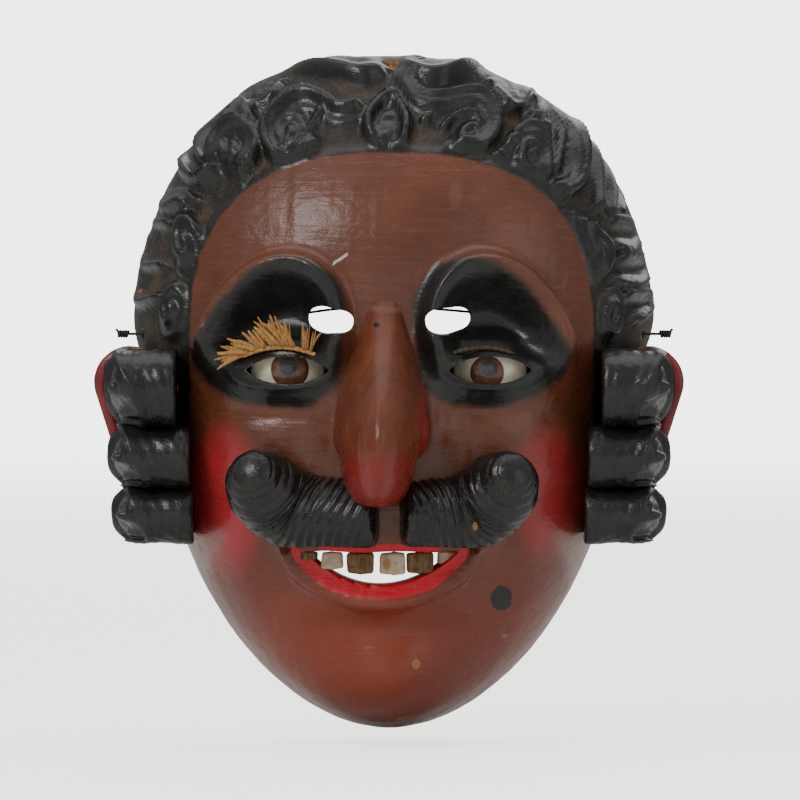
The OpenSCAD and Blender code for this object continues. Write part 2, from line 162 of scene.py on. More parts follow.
# Crest lines of the locks of hair: points (x, z), how far the lock slopes away on its left and on its
# right, and its height
CRESTS = {
    "left_crown": (
        [
            (-3.5, 105), (-10.5, 103), (-18.5, 104.5), (-27.5, 107), (-36, 108), (-42, 105), (-48, 99),
            (-49.5, 96), (-47, 93)
        ],
        3, 9, 3.6
    ),
    "left_leaf": ([(-47, 93.5), (-39.5, 97.5), (-36.5, 102)], 5, 2.5, 2.2),
    "left_scroll": (
        [
            (-12, 93), (-16.5, 92.5), (-20.5, 95), (-27, 97.5), (-33, 96.5), (-39, 91.5), (-41, 86),
            (-39, 80), (-33, 76.5), (-27.5, 79)
        ],
        5, 2.5, 3.8
    ),
    "left_curl": ([(-23, 92), (-26.5, 86), (-30.5, 82), (-35, 81.5), (-36, 84.5)], 3, 3, 2.6),
    "left_bulb": (
        [(-57.5, 78), (-55.5, 83), (-52.5, 86), (-48, 88), (-43.5, 85), (-42.5, 80.5), (-44.5, 75)], 2, 6,
        3.8
    ),
    "left_sweep": (
        [(-50.5, 102.5), (-60.5, 94), (-66, 85), (-67.5, 77), (-65.5, 70.5), (-61, 68), (-56.5, 71)], 4, 3,
        4
    ),
    "left_sweep_in": ([(-47.5, 100), (-57, 91), (-61.5, 84.5), (-62.5, 78.5), (-59.5, 74)], 3, 3, 3.2),
    "left_sweep_out": (
        [(-59, 98), (-67, 90), (-72.5, 81.5), (-77, 69.5), (-76.5, 64), (-73, 59), (-67.5, 60)], 5, 3, 3.6
    ),
    "left_side_a": (
        [(-71, 88), (-76.5, 79), (-80.5, 69), (-82, 62), (-79, 56.5), (-73.5, 54.5)], 3.4, 2.5, 3.2
    ),
    "left_side_b": ([(-82, 52), (-84, 47), (-83, 42), (-76.5, 41)], 4, 2, 3),
    "left_side_c": ([(-84.5, 40.5), (-85.5, 34.5), (-83, 30), (-77, 30.5)], 4, 2, 3),
    "right_crown": (
        [
            (3.5, 108), (9, 104.5), (16.5, 103.5), (23.5, 105), (30.5, 106), (38.5, 103.5), (43.5, 99.5),
            (44.5, 93.5)
        ],
        8, 3, 3.6
    ),
    "right_back": ([(6.5, 113), (12.5, 108.5), (25, 108), (34, 107), (44, 105)], 6, 2, 2.6),
    "right_scroll": (
        [(4.5, 106), (9, 99), (15, 97), (25, 97), (30.5, 95), (35, 89), (34.5, 83.5), (31, 80), (25, 79.5)],
        2.5, 5, 3.8
    ),
    "right_notch": ([(11.5, 90), (15, 93), (19, 95)], 3, 3, 2.2),
    "right_curl": ([(18, 88), (21.5, 91), (26.5, 91), (29.5, 88), (29.5, 84.5)], 2, 3, 2.8),
    "right_leaf": ([(44.5, 93), (38.5, 93), (33.5, 98.5)], 2, 5, 2.4),
    "right_bulb": ([(41, 84), (44, 86), (50.5, 84), (52.5, 78.5), (52.5, 72)], 2, 6, 3.8),
    "right_sweep": (
        [
            (45, 101), (54, 96.5), (59.5, 90.5), (63, 81.5), (64.5, 74.5), (62.5, 68.5), (56.5, 65),
            (49.5, 63)
        ],
        3, 5, 4.2
    ),
    "right_sweep_in": ([(50.5, 95), (54.5, 89), (56.5, 82.5), (55.5, 74.5)], 3, 3, 2.8),
    "right_out_a": ([(57, 97), (62.5, 90.5), (68, 81.5), (70.5, 71.5), (69.5, 62)], 3, 3, 3.4),
    "right_out_b": ([(66.5, 87.5), (72, 77.5), (75, 68), (73, 60)], 3, 3, 3.2),
    "right_out_c": ([(74.5, 79), (79, 68), (77.5, 59.5)], 3, 3, 3),
    "right_side_a": ([(66, 55), (70.5, 49), (70.5, 41.5), (66.5, 37)], 2, 6, 3.4),
    "right_side_b": ([(74.5, 57), (81.5, 55), (86, 50.5), (80.5, 46.5), (74.5, 48)], 2, 4, 3),
    "right_side_c": ([(77, 44.5), (84.5, 43), (87.5, 38.5), (82.5, 34.5), (75.5, 36)], 2, 4, 3),
    "right_side_d": ([(78.5, 32), (85.5, 31), (89, 27), (83.5, 23)], 2, 4, 3),
    "middle_left": ([(-0.5, 98), (-4.5, 95), (-7.5, 89), (-6, 84), (-3, 80.5)], 4, 3, 3),
    "middle_right": ([(-0.5, 98), (3, 94), (5.5, 88.5), (4.5, 83), (1.5, 80.5)], 3, 4, 3),
}

# Round lobes of hair: middle, half sizes and height
LOBES = [
    (-33, 86, 7, 8.5, 3.2),
    (-50.3, 79.5, 7.2, 8.5, 4),
    (46.5, 77.5, 6.2, 9, 4.4),
    (27.5, 84.5, 7, 7.5, 3.2),
    (-42, 99.5, 6.5, 5.5, 2.6),
    (39, 96, 6.2, 4.8, 2.6),
    (-67, 48, 6, 12, 4),
    (-71, 27, 5, 10.5, 3.6),
    (64, 46.5, 8, 11.5, 4.2),
    (73.5, 26, 4.2, 10, 3.6),
    (-1, 86.5, 4.2, 8, 2.2),
]


def hair_relief(x, z):
    """Height of the locks above the cap of hair: the highest of all crests and lobes, with combed strands
    that run beside each crest. It is low round the tie hole."""
    height = np.zeros(x.shape)
    comb = np.zeros(x.shape)
    beside = ease(58, 74, np.abs(x)) * ease(84, 66, z)
    for points, left, right, tall in CRESTS.values():
        signed, along = stroke_field(x, z, points)
        reach = np.where(signed > 0, left, right)
        reach = np.where(reach > 4, 1.7 * reach, reach)
        near = np.clip(1 - np.abs(signed) / reach, 0, 1)
        rounded = near + beside * (np.sin(near * np.pi / 2) * 0.8 - near)
        ridge = tall * rounded * (1 + 0.12 * np.sin(along * 9 + tall))
        comb = np.where(ridge > height, np.sin(signed * TAU / STRAND), comb)
        height = np.maximum(height, ridge)
    for cx, cz, sx, sz, tall in LOBES:
        u, v = (x - cx) / sx, (z - cz) / sz
        curl = np.sin(TAU * 1.5 * np.hypot(u, v) - np.sign(cx) * np.arctan2(v, u))
        lobe = tall * np.sqrt(np.clip(1 - u**2 - v**2, 0, 1)) * (0.66 + 0.16 * curl)
        comb = np.where(lobe > height, 0, comb)
        height = np.maximum(height, lobe)
    height = height + 0.3 * comb * ease(0.2, 1.2, height)
    return height * (1 - hill(x, z, 0, 109, 5, 5, 0.9))


def face_relief(x, z):
    """Carving of the face: brows over hollow sockets, lids, cheeks, nostril wings, lips and chin."""
    side = np.abs(x + 1)
    ring = brow_ring(x, z)
    above = ease(8, 18, z)
    brow = 7.0 * np.exp(-(((ring - 0.9) * np.where(ring > 0.9, 8.5, 5.4)) ** 2)) * ease(4, 20, z)
    socket = -9.5 * (1 - ease(0.4, 0.82, ring)) * above
    lids = hill(side, z, 34, 6, 22, 13, 5) + hill(side, z, 34, 17.5, 17, 4.2, 5.6)
    rim_d = np.hypot((side - EYE_X) / 14.2, (z - EYE_Z) / 5.4)
    lids = lids + 0.5 * np.exp(-(((rim_d - 1.15) * 7) ** 2))
    under = -hill(side, z, 35, -5, 17, 5, 2.5)
    cheeks = hill(side, z, 46, -22, 17, 20, 4.5) + hill(side, z, 16, -10, 5, 10, 3)
    smile = -hill(side, z, 40, -50, 6, 16, 2.2) - hill(side, z, 33, -62, 7, 10, 1.6)
    lip_arc = lip_distance(x, z)
    lips = hill(x, z, -2, -44, 34, 16, 5) + 4.5 * np.exp(-(((lip_arc - 3.2) / 3.4) ** 2))
    chin = (
        hill(x, z, -2, -69, 27, 6, 2.5) - hill(x, z, -2, -77, 20, 5, 2.2) + hill(x, z, -3, -92, 24, 15, 14)
    )
    forehead = hill(x, z, 0, 55, 42, 24, 3)
    return brow + socket + lids + under + cheeks + smile + lips + chin + forehead


def lip_distance(x, z):
    """Distance outside the mouth's round lower edge, for the lower lip; large above the mouth."""
    d = np.hypot(x - MOUTH_X, z - (MOUTH_Z + MOUTH_R - MOUTH_DROP)) - MOUTH_R
    beside = ease(MOUTH_HALF_W - 2, MOUTH_HALF_W + 4, np.abs(x - MOUTH_X))
    return np.where(z < MOUTH_Z + 2, d, 9) + 6 * beside


def head_surface(phi, turn):
    """Outer surface: the egg-shaped head, turn 0 at the front and a quarter circle at the rim, raised
    along its normal by the carving. Also gives how deep in a groove of the hair each point is, from 0 to
    1."""
    reach = outline(phi)
    across = reach * np.sin(turn) ** ACROSS_POWER
    x, z = across * np.cos(phi), across * np.sin(phi)
    y = -FACE_D * np.cos(turn) ** DEPTH_POWER + 0 * x
    normal = np.stack([x / reach**2, y / FACE_D**2, z / reach**2], -1)
    normal /= np.linalg.norm(normal, axis=-1, keepdims=True)
    facing = ease(0.05, 0.5, np.cos(turn))
    back = ease(0.0, 0.4, np.cos(turn))
    sway = (1 - np.cos(turn)) * 2.0
    relief = hair_relief(x + sway * np.sin(z / 9), z + sway * np.sin(x / 8))
    hair = ease(0.99, 1.07, hairline(x, z)) * ease(-50, -40, z)
    steep = 1.6 + 1.3 * (1 + normal[..., 1]) * (1 - 0.75 * ease(60, 76, np.abs(x)))
    rise = face_relief(x, z) * facing + hair * (relief * steep - 0.8) * back
    tool = 0.14 * waves(np.stack([x, y, z], -1), 16, 5) * (1 - hair)
    p = np.stack([x, y, z], -1) + normal * (rise + tool)[..., None]
    groove = hair * ease(1.3, 0.1, relief)
    return p, groove


def hollow_surface(phi, turn):
    """Inner surface of the hollow: the same egg made smaller, with shallow gouge cuts that run round it."""
    reach = outline(phi) - WALL
    across = reach * np.sin(turn) ** ACROSS_POWER
    x, z = across * np.cos(phi), across * np.sin(phi)
    y = -(FACE_D - WALL - 3) * np.cos(turn) ** DEPTH_POWER + 0 * x
    p = np.stack([x, y, z], -1)
    gouged = 0.35 * np.abs(np.sin(phi * 17 + 1.5 * np.sin(turn * 9))) + 0.3 * waves(p, 30, 8)
    inwards = np.stack([-np.cos(phi) * np.sin(turn), 0 * y, -np.sin(phi) * np.sin(turn)], -1)
    return p + gouged[..., None] * inwards


# ---------------------------------------------------------------- making meshes
def put_mesh(name, parts, fields=None):
    """An object from closed surfaces. Each part is a (rings, around, 3) array in millimetres whose ends
    get a fan of triangles, and its faces are turned outwards by the sign of its volume. fields gives
    numbers for every vertex of the first part."""
    points, corners, sizes, start = [], [], [], 0
    for rings in parts:
        count, around = rings.shape[:2]
        p = np.concatenate([rings.reshape(-1, 3), rings[:1].mean(1), rings[-1:].mean(1)])
        ids = np.arange(count * around).reshape(count, around)
        after = np.roll(ids, -1, 1)
        quads = np.stack([ids[:-1], after[:-1], after[1:], ids[1:]], -1).reshape(-1, 4)
        fans = np.concatenate([
            np.stack([np.full(around, count * around), after[0], ids[0]], -1),
            np.stack([np.full(around, count * around + 1), ids[-1], after[-1]], -1),
        ])
        a, b, c, d = (p[quads[:, k]] for k in range(4))
        volume = (np.einsum("ij,ij->i", a, np.cross(b, c)) + np.einsum("ij,ij->i", a, np.cross(c, d))).sum()
        if volume < 0:
            quads, fans = quads[:, ::-1], fans[:, ::-1]
        points.append(p)
        corners += [quads.ravel() + start, fans.ravel() + start]
        sizes += [np.full(len(quads), 4), np.full(len(fans), 3)]
        start += len(p)
    points, corners, sizes = np.concatenate(points), np.concatenate(corners), np.concatenate(sizes)
    mesh = bpy.data.meshes.new(name)
    mesh.vertices.add(len(points))
    mesh.loops.add(len(corners))
    mesh.polygons.add(len(sizes))
    mesh.vertices.foreach_set("co", (points * MM).ravel())
    mesh.loops.foreach_set("vertex_index", corners.astype(np.int32))
    mesh.polygons.foreach_set("loop_start", np.concatenate([[0], np.cumsum(sizes)[:-1]]).astype(np.int32))
    mesh.polygons.foreach_set("loop_total", sizes.astype(np.int32))
    mesh.polygons.foreach_set("use_smooth", np.ones(len(sizes), bool))
    mesh.update(calc_edges=True)
    for field, values in (fields or {}).items():
        flat = np.concatenate([values.ravel(), [values[0].mean(), values[-1].mean()]])
        full = np.full(len(points), flat[-1])
        full[: len(flat)] = flat
        mesh.attributes.new(field, "FLOAT", "POINT").data.foreach_set("value", full.astype(np.float32))
    mesh.validate()
    obj = bpy.data.objects.new(name, mesh)
    bpy.context.scene.collection.objects.link(obj)
    return obj


def place(obj, body, slot, material, *nodes):
    """Rides, replaces its CAD nodes and takes its finish."""
    obj.data.materials.clear()
    obj.data.materials.append(material)
    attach(obj, body)
    if nodes:
        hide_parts(*nodes)
    return obj


def ellipsoid(centre, sizes, rows=24, around=36):
    """Rings of an ellipsoid from its lowest to its highest point."""
    lat = np.linspace(-np.pi / 2, np.pi / 2, rows + 2)[1:-1, None]
    lon = np.linspace(0, TAU, around, endpoint=False)[None, :]
    p = np.stack([np.cos(lat) * np.cos(lon), np.cos(lat) * np.sin(lon), np.sin(lat) + 0 * lon], -1)
    return np.array(centre) + np.array(sizes) * p


def prism(outline_xz, depths):
    """Rings of an upright outline (points of x and z) repeated at each depth in front of the back plane."""
    shape = np.array(outline_xz, float)
    return np.stack([np.stack([shape[:, 0], np.full(len(shape), -d), shape[:, 1]], -1) for d in depths])


def tube(path, radius, around=12, flat=1.0, twist=0.0):
    """Rings along a path of points (rows, 3). The radius may vary with the row, and flat squeezes one
    direction."""
    path = np.asarray(path, float)
    tangent = np.gradient(path, axis=0)
    tangent /= np.linalg.norm(tangent, axis=1, keepdims=True)
    normal = np.empty_like(path)
    guide = np.array([0.0, 0.0, 1.0]) if abs(tangent[0, 2]) < 0.9 else np.array([0.0, 1.0, 0.0])
    for k, t in enumerate(tangent):
        guide = guide - t * (guide @ t)
        guide = guide / np.linalg.norm(guide)
        normal[k] = guide
    binormal = np.cross(tangent, normal)
    angle = np.linspace(0, TAU, around, endpoint=False)[None, :, None] + twist
    radius = np.broadcast_to(np.asarray(radius, float), len(path))[:, None, None]
    return (
        path[:, None]
        + radius * (np.cos(angle) * normal[:, None] + flat * np.sin(angle) * binormal[:, None])
    )


def circle(cx, cz, r, count=48):
    a = np.linspace(0, TAU, count, endpoint=False)
    return np.stack([cx + r * np.cos(a), cz + r * np.sin(a)], -1)


def almond(cx, cz, half_w, half_h, count=64):
    """A pointed oval: half_h * (1 - |t|^2.2) above and below a line of half length half_w."""
    a = np.linspace(0, TAU, count, endpoint=False)
    t = np.cos(a)
    return np.stack([cx + half_w * t, cz + half_h * np.sign(np.sin(a)) * (1 - np.abs(t) ** 2.2) ** 0.8], -1)


def smile_outline(count=80):
    """A straight upper edge and a round lower one, for the mouth."""
    half = math.asin(MOUTH_HALF_W / MOUTH_R)
    a = np.linspace(-half, half, count) - np.pi / 2
    middle_z = MOUTH_Z + MOUTH_R - MOUTH_DROP
    lower = np.stack([MOUTH_X + MOUTH_R * np.cos(a), middle_z + MOUTH_R * np.sin(a)], -1)
    top = np.linspace(MOUTH_HALF_W - 2, 2 - MOUTH_HALF_W, 24)
    return np.concatenate([lower, np.stack([MOUTH_X + top, MOUTH_Z + 0.25 * np.sin(top / 4)], -1)])


def peep_outline(side, count=72):
    """The see-through hole between brow and nose: a superellipse, lower towards the nose, with a wavering
    edge."""
    a = np.linspace(0, TAU, count, endpoint=False)
    reach = (np.abs(np.cos(a) / 7.4) ** 2.6 + np.abs(np.sin(a) / 4.3) ** 2.6) ** (-1 / 2.6)
    reach = reach + 0.25 * np.sin(3 * a + side)
    x, z = reach * np.cos(a), reach * np.sin(a)
    lean = math.radians(8)
    across = side * (PEEP_X + x * math.cos(lean) - z * math.sin(lean))
    return np.stack([across, PEEP_Z + x * math.sin(lean) + z * math.cos(lean)], -1)


def bar(start, end, r, around=40):
    """Rings of a straight round bar."""
    t = np.linspace(0, 1, 4)[:, None]
    return tube(np.array(start) * (1 - t) + np.array(end) * t, r, around)


def cut(obj, cutters):
    """Takes closed surfaces away from an object, one boolean each, and applies the result."""
    made = []
    for k, rings in enumerate(cutters):
        tool = put_mesh(f"tool_{k}", [rings], {"inside": np.ones(rings.shape[:2])})
        tool.hide_render = True
        step = obj.modifiers.new(f"cut_{k}", "BOOLEAN")
        step.object = tool
        step.operation = "DIFFERENCE"
        step.solver = "MANIFOLD"
        made.append(tool)
    bpy.context.view_layer.update()
    mesh = bpy.data.meshes.new_from_object(obj.evaluated_get(bpy.context.evaluated_depsgraph_get()))
    obj.modifiers.clear()
    obj.data = mesh
    for tool in made:
        bpy.data.objects.remove(tool)
    return obj


# ---------------------------------------------------------------- the pieces
def make_head():
    """The head as one closed surface: outer face and hair from the front to the rim, then the hollow back
    to its deepest point, with its rows evenly spaced along the egg's section and its openings cut out."""
    around, outer_rows, inner_rows = 500, 150, 34
    phi = np.linspace(0, TAU, around, endpoint=False)[None, :]
    fine = np.linspace(0.02, np.pi / 2, 2000)
    across = np.diff(np.sin(fine) ** ACROSS_POWER) * 100
    steps = np.hypot(across, np.diff(np.cos(fine) ** DEPTH_POWER) * FACE_D)
    length = np.concatenate([[0], np.cumsum(steps)])
    turn = np.interp(np.linspace(0, length[-1], outer_rows), length, fine)[:, None]
    outer, groove = head_surface(phi, turn)
    inner_turn = np.interp(np.linspace(length[-1], 0, inner_rows), length, fine)[:, None]
    inner = hollow_surface(phi, inner_turn)
    rings = np.concatenate([outer, inner])
    inside = np.concatenate([np.zeros(outer.shape[:2]), np.ones(inner.shape[:2])])
    groove = np.concatenate([groove, np.zeros(inner.shape[:2])])
    head = put_mesh("head", [rings], {"groove": groove, "inside": inside})
    behind, ahead = 40, 110
    cutters = []
    for side in (-1, 1):
        cutters.append(prism(almond(side * EYE_X, EYE_Z, 13.6, 4.6), (LID_FACE_D, ahead)))
        cutters.append(prism(circle(side * EYE_X, EYE_Z, 10.6), (behind, LID_FACE_D + 0.2)))
        cutters.append(prism(peep_outline(side), (behind, ahead)))
        temple = [(side * reach, -TEMPLE_D, TEMPLE_Z) for reach in (60, 100)]
        cutters.append(bar(*temple, TEMPLE_HOLE_R))
    smile = prism(smile_outline(), (50, 71, 79, ahead))
    smile[:2, :, 0] = MOUTH_X + (smile[:2, :, 0] - MOUTH_X) * 0.8
    cutters.append(smile)
    cutters.append(bar((0, 0, TIE_LINE), (0, -52, TIE_LINE + 52), TIE_HOLE_R))
    return cut(head, cutters)


def make_nose():
    """A long drop that widens from the bridge to the nostril wings, narrows a little below them, and
    stands out further all the way down to its hanging tip. Each wing is an egg shape."""
    rows, cols = 90, 72
    angle = np.linspace(0.02, np.pi - 0.02, rows)[:, None]
    t = (1 - np.cos(angle)) / 2
    z = 33 - 70 * t
    end = np.sin(angle) ** 0.42
    half = (8.0 + 8.0 * ease(-0.05, 0.62, t) - 2.2 * ease(0.62, 0.8, t)) * end
    front = (FACE_D + 5 + 35 * ease(-0.1, 0.8, t) - 76) * np.sin(angle) ** np.where(t > 0.5, 0.45, 0.75)
    mid = -1 - 3 * t
    a = np.linspace(-0.18, np.pi + 0.18, cols)[None, :]
    ridge = 1 + 0.05 * np.exp(-(((a - np.pi / 2) / 0.35) ** 2)) * ease(0.1, 0.5, t)
    power = 0.8 + 0.55 * ease(0, 0.2, t) * ease(0.78, 0.6, t)
    x = mid - half * np.cos(a)
    y = np.minimum(-72, -76 - front * ridge * np.sign(np.sin(a)) * np.abs(np.sin(a)) ** power)
    body = np.stack([x, y + 0 * z, z + 0 * a], -1)
    body += 0.16 * waves(body, 14, 21)[..., None] * np.array([1, 1, 0])
    wings = [ellipsoid((-13.0, -83, -13), (5.4, 8, 9)), ellipsoid((7.8, -83, -12), (5.8, 8, 9.5))]
    return put_mesh("nose_carving", [body, *wings])


HORN_TURN = math.radians(18)


def on_seat(p, side):
    """Puts a moustache half's own points, x outwards and -y forwards, beside the lip, turned by
    HORN_TURN."""
    c, s = math.cos(HORN_TURN), math.sin(HORN_TURN)
    x, y, z = p[..., 0], p[..., 1], p[..., 2]
    return np.stack([side * (5 + c * x - s * y), -(FACE_D - 1) + s * x + c * y, MOUTH_Z + z], -1)


def make_moustache(side):
    """A thick horn carried along a curve that leaves the lip sideways and curls forwards into a blunt
    tip. Its back and bottom are flat. Slanting grooves run over its body and close up into turns round
    the tip."""
    name = "moustache_horn_left" if side < 0 else "moustache_horn_right"
    knots = [(-3, -4, 12), (4, -5, 12), (12, -6, 12), (20, -7, 12.5), (27, -9, 15)]
    knots += [(31.5, -13, 19), (33.6, -19, 23.2), (34, -25, 26.4), (34, -29, 28)]
    if side > 0:
        knots = [(x * 0.86, y, z - 0.3) for x, y, z in knots]
    rows, around = 150, 96
    path = smooth_path(knots, rows)
    t = np.linspace(0, 1, rows)
    radius = np.interp(
        t, [0, 0.06, 0.2, 0.45, 0.6, 0.72, 0.82, 0.92, 1], [9, 11.6, 12.6, 13.2, 13.2, 12.2, 9.6, 6.6, 4.0]
    )
    radius = radius * np.sqrt(np.clip(1 - ((t - 0.955) / 0.046) ** 2 * (t > 0.955), 0.0004, 1))
    radius = radius * (1 - 0.3 * np.clip(1 - t / 0.03, 0, 1) ** 2)
    a = np.linspace(0, TAU, around, endpoint=False)[None, :]
    along = t[:, None]
    body = ease(0.68, 0.56, along)
    lines = 130 * along + 9 * np.cos(a) + 2.2 * np.sin(7 * along + 2 * a + side) + side
    slant = (1 - 2 * np.abs(np.sin(lines / 2)) ** 0.7) * body * ease(0, 0.08, along)
    turns = np.abs(np.sin(along * 46 + a * side * 0.5)) ** 0.6
    turns = turns * ease(0.6, 0.72, along) * ease(1.0, 0.93, along)
    radius = radius[:, None] + 0.45 * slant + 0.5 * turns
    frame_rings = tube(path, 1.0, around)
    p = path[:, None] + (frame_rings - path[:, None]) * radius[..., None]
    p += 0.18 * waves(p, 9, 31 + side)[..., None]
    p[..., 1] = np.minimum(p[..., 1], 0.2)
    floor = 1.9 + 0.25 * np.sin(p[..., 0] / 5 + side)
    p[..., 2] = np.maximum(p[..., 2], floor)
    worn = np.clip(0.5 * (slant + turns * 2), 0, 1)
    return put_mesh(name, [on_seat(p, side)], {"worn": worn})


# The rolls of a sideburn: how far its top is below the first, its height, how far its middle is from the
# rim, and where it starts beside the face
ROLLS = [(0, 25.5, 63, 70.5), (25.5, 20.3, 61, 66), (45.8, 18.4, 58, 65)]


def make_sideburn(side):
    """Three rolls of hair one under the other, each a round-fronted bar along X. In front the edge of its
    outer end slants, further out at the top; behind, the end is rounded. Inside the edge it is sunk, and
    a spiral winds in to a knob."""
    name = "sideburn_rolls_left" if side < 0 else "sideburn_rolls_right"
    parts = []
    a = np.linspace(0, TAU, 120, endpoint=False)
    for k, (top, tall, depth, inner_x) in enumerate(ROLLS):
        r = tall / 2 + 0.35
        out = 97.4 - 1.4 * k
        back = depth - 34.2
        ahead = 1 / ((np.abs(np.cos(a)) / back) ** 6 + (np.abs(np.sin(a)) / r) ** 6) ** (1 / 6)
        reach = np.where(np.cos(a) > 0, ahead, r)
        y0, z0 = np.cos(a) * reach, np.sin(a) * reach
        slanted = out - 10.5 + 0.42 * z0
        rounded = out - 4.5 * (z0 / r) ** 4 - 1.4 * (z0 / r) ** 2 - 0.08 * np.clip(y0, 0, 30)
        edge_x = slanted + (rounded - slanted) * ease(-6, 9, y0)
        u = np.concatenate(
            [[0, 0.02, 0.06], np.linspace(0.12, 0.9, 30), [0.93, 0.955, 0.975, 0.99, 1.0]]
        )[:, None]
        size = (
            1 - 0.07 * np.exp(-u * 40) - 0.05 * np.exp(-(((u - 0.6) / 0.22) ** 2))
            - 0.06 * ease(0.94, 1.0, u)
        )
        size = size + 0.006 * np.sin(u * 31 + 2 * np.sin(2 * a + k))
        barrel = np.stack([inner_x + (edge_x - inner_x) * u, y0 * size, z0 * size], -1)
        s = np.linspace(0.97, 0.02, 40)[:, None]
        swirl = np.cos(TAU * 1.5 * s + a) * ease(0.88, 0.7, s) * ease(0.12, 0.3, s)
        sunk = -2.6 * ease(1.0, 0.82, s) + 0.9 * swirl + 2.4 * ease(0.3, 0.1, s)
        knob_y = -3.5 * (1 - s)
        end = np.stack(
            [edge_x * s + (out - 4.0) * (1 - s) + sunk, y0 * 0.94 * s + knob_y, z0 * 0.94 * s], -1
        )
        rings = np.concatenate([barrel, end])
        rings += 0.25 * waves(rings + 100 * k, 14, 40 + k)[..., None]
        rings += np.array([0, -depth, SIDEBURN_TOP_Z - top - tall / 2])
        rings[..., 0] *= side
        parts.append(rings)
    return put_mesh(name, parts)


def make_ear(side):
    """A flat ear: the hull of three circles, rounded at its edge, with a hollow inside a raised rim."""
    name = "ear_shell_left" if side < 0 else "ear_shell_right"
    circles = [(86.5, 3, 12), (83, -18, 9), (72, -2, 12)]
    a = np.linspace(0, TAU, 160, endpoint=False)
    u = np.stack([np.cos(a), np.sin(a)], -1)
    reach = np.stack([np.array(c[:2]) @ u.T + c[2] for c in circles])
    pick = reach.argmax(0)
    edge = np.array([c[:2] for c in circles])[pick] + u * np.array([c[2] for c in circles])[pick][:, None]
    centre = np.array([81, -4])
    s = np.array([0.06, 0.2, 0.35, 0.5, 0.6, 0.68, 0.76, 0.84, 0.9, 0.95, 0.985, 1.0])
    front = -33.6 + 2.6 * ease(0.8, 0.55, s) + 0.9 * ease(0.93, 1, s) ** 2
    back = -26.7 - 0.9 * ease(0.93, 1, s) ** 2
    rings = []
    for share, y in [*zip(s, front), *zip(s[::-1], back[::-1])]:
        x, z = (centre + (edge - centre) * share).T
        rings.append(np.stack([x, np.full(len(a), y), z], -1))
    rings = np.stack(rings)
    rings += 0.12 * waves(rings, 10, 55)[..., None]
    rings[..., 0] = np.maximum(rings[..., 0], 71) * side
    return put_mesh(name, [rings])


TOOTH_X = [-26.4, -18.7, -9.4, 1.2, 10.3, 19.5]
TOOTH_LEN = [3.2, 6.0, 7.6, 7.8, 7.4, 4.4]
TOOTH_W = [5.8, 7.2, 9.0, 8.6, 9.0, 7.0]


def make_tooth(k):
    """A squared block with soft corners: superellipse rings of power 5 that shrink a little at the top and
    bottom."""
    t = np.linspace(-1, 1, 18)[:, None]
    a = np.linspace(0, TAU, 48, endpoint=False)[None, :]
    shrink = (1 - np.abs(t) ** 7) ** 0.25 * 0.98 + 0.02
    reach = (np.abs(np.cos(a)) ** 5 + np.abs(np.sin(a)) ** 5) ** (-0.2) * shrink
    wide, deep, tall = TOOTH_W[k] / 2, 2.2, TOOTH_LEN[k] / 2
    x = TOOTH_X[k] + wide * reach * np.cos(a) * (1 + 0.04 * t * (-1) ** k)
    y = 2.25 - 78 + 0.009 * (TOOTH_X[k] + 3) ** 2 + deep * reach * np.sin(a)
    z = MOUTH_Z - tall + t * tall * (1 - 0.03 * np.cos(a + k))
    p = np.stack([x, y, z + 0 * a], -1)
    return put_mesh(f"tooth_block_{k + 1}", [p + 0.08 * waves(p, 4, 60 + k)[..., None]])


def make_eye(side):
    """A blown glass cap: part of a ball of the eyeball's radius in front, a short rim and a flat back."""
    limit = math.asin(GLASS_R / EYEBALL_R)
    t = np.linspace(0.02, limit, 40)[:, None]
    a = np.linspace(0, TAU, 72, endpoint=False)[None, :]
    middle = EYE_FRONT_D - EYEBALL_R
    x = EYEBALL_R * np.sin(t) * np.cos(a)
    z = EYEBALL_R * np.sin(t) * np.sin(a)
    y = -(middle + EYEBALL_R * np.cos(t)) + 0 * a
    cap = np.stack([x, y, z], -1)
    back = cap[-1:].repeat(3, 0)
    back[:, :, 1] = -GLASS_BACK_D
    back[1, :, [0, 2]] *= 0.9
    back[2, :, [0, 2]] *= 0.3
    rings = np.concatenate([cap, back])
    rings[..., 0] += side * EYE_X
    rings[..., 2] += EYE_Z
    return put_mesh("eye_left" if side < 0 else "eye_right", [rings])


# The edge of the black paint round each eye: distance from the middle of the face, and height
EYE_EDGE = [
    (10.8, 30), (14, 38.5), (22, 44), (31, 46), (40, 43), (49, 35), (57, 24.5), (64, 13), (57.5, 3.5),
    (48, -1.5), (36, -4.2), (22, -3), (14, 4), (12.2, 16)
]


def add_fields(obj):
    """Distances in millimetres that the paint uses: past the hairline, inside the black round the eyes,
    and below the mouth."""
    mesh = obj.data
    co = np.empty(len(mesh.vertices) * 3, np.float32)
    mesh.vertices.foreach_get("co", co)
    x, y, z = co.reshape(-1, 3).T.astype(float) / MM
    edge, _ = stroke_field(np.abs(x + 3), z, EYE_EDGE + EYE_EDGE[:2], 60)
    hair = (hairline(x, z) - 1) * 62 * ease(-46, -44, z) - 30 * ease(-44, -46, z)
    for name, values in {"eye_zone": -edge, "hair": hair, "lip": lip_distance(x, z)}.items():
        mesh.attributes.new(name, "FLOAT", "POINT").data.foreach_set("value", values.astype(np.float32))


# A lash strip is an arc of this radius about a point at this height, in a plane turned by this angle
# about Z
LASH_R, LASH_MIDDLE_Z = 29.8, -14.2
LASH_LEAN = math.radians(17)


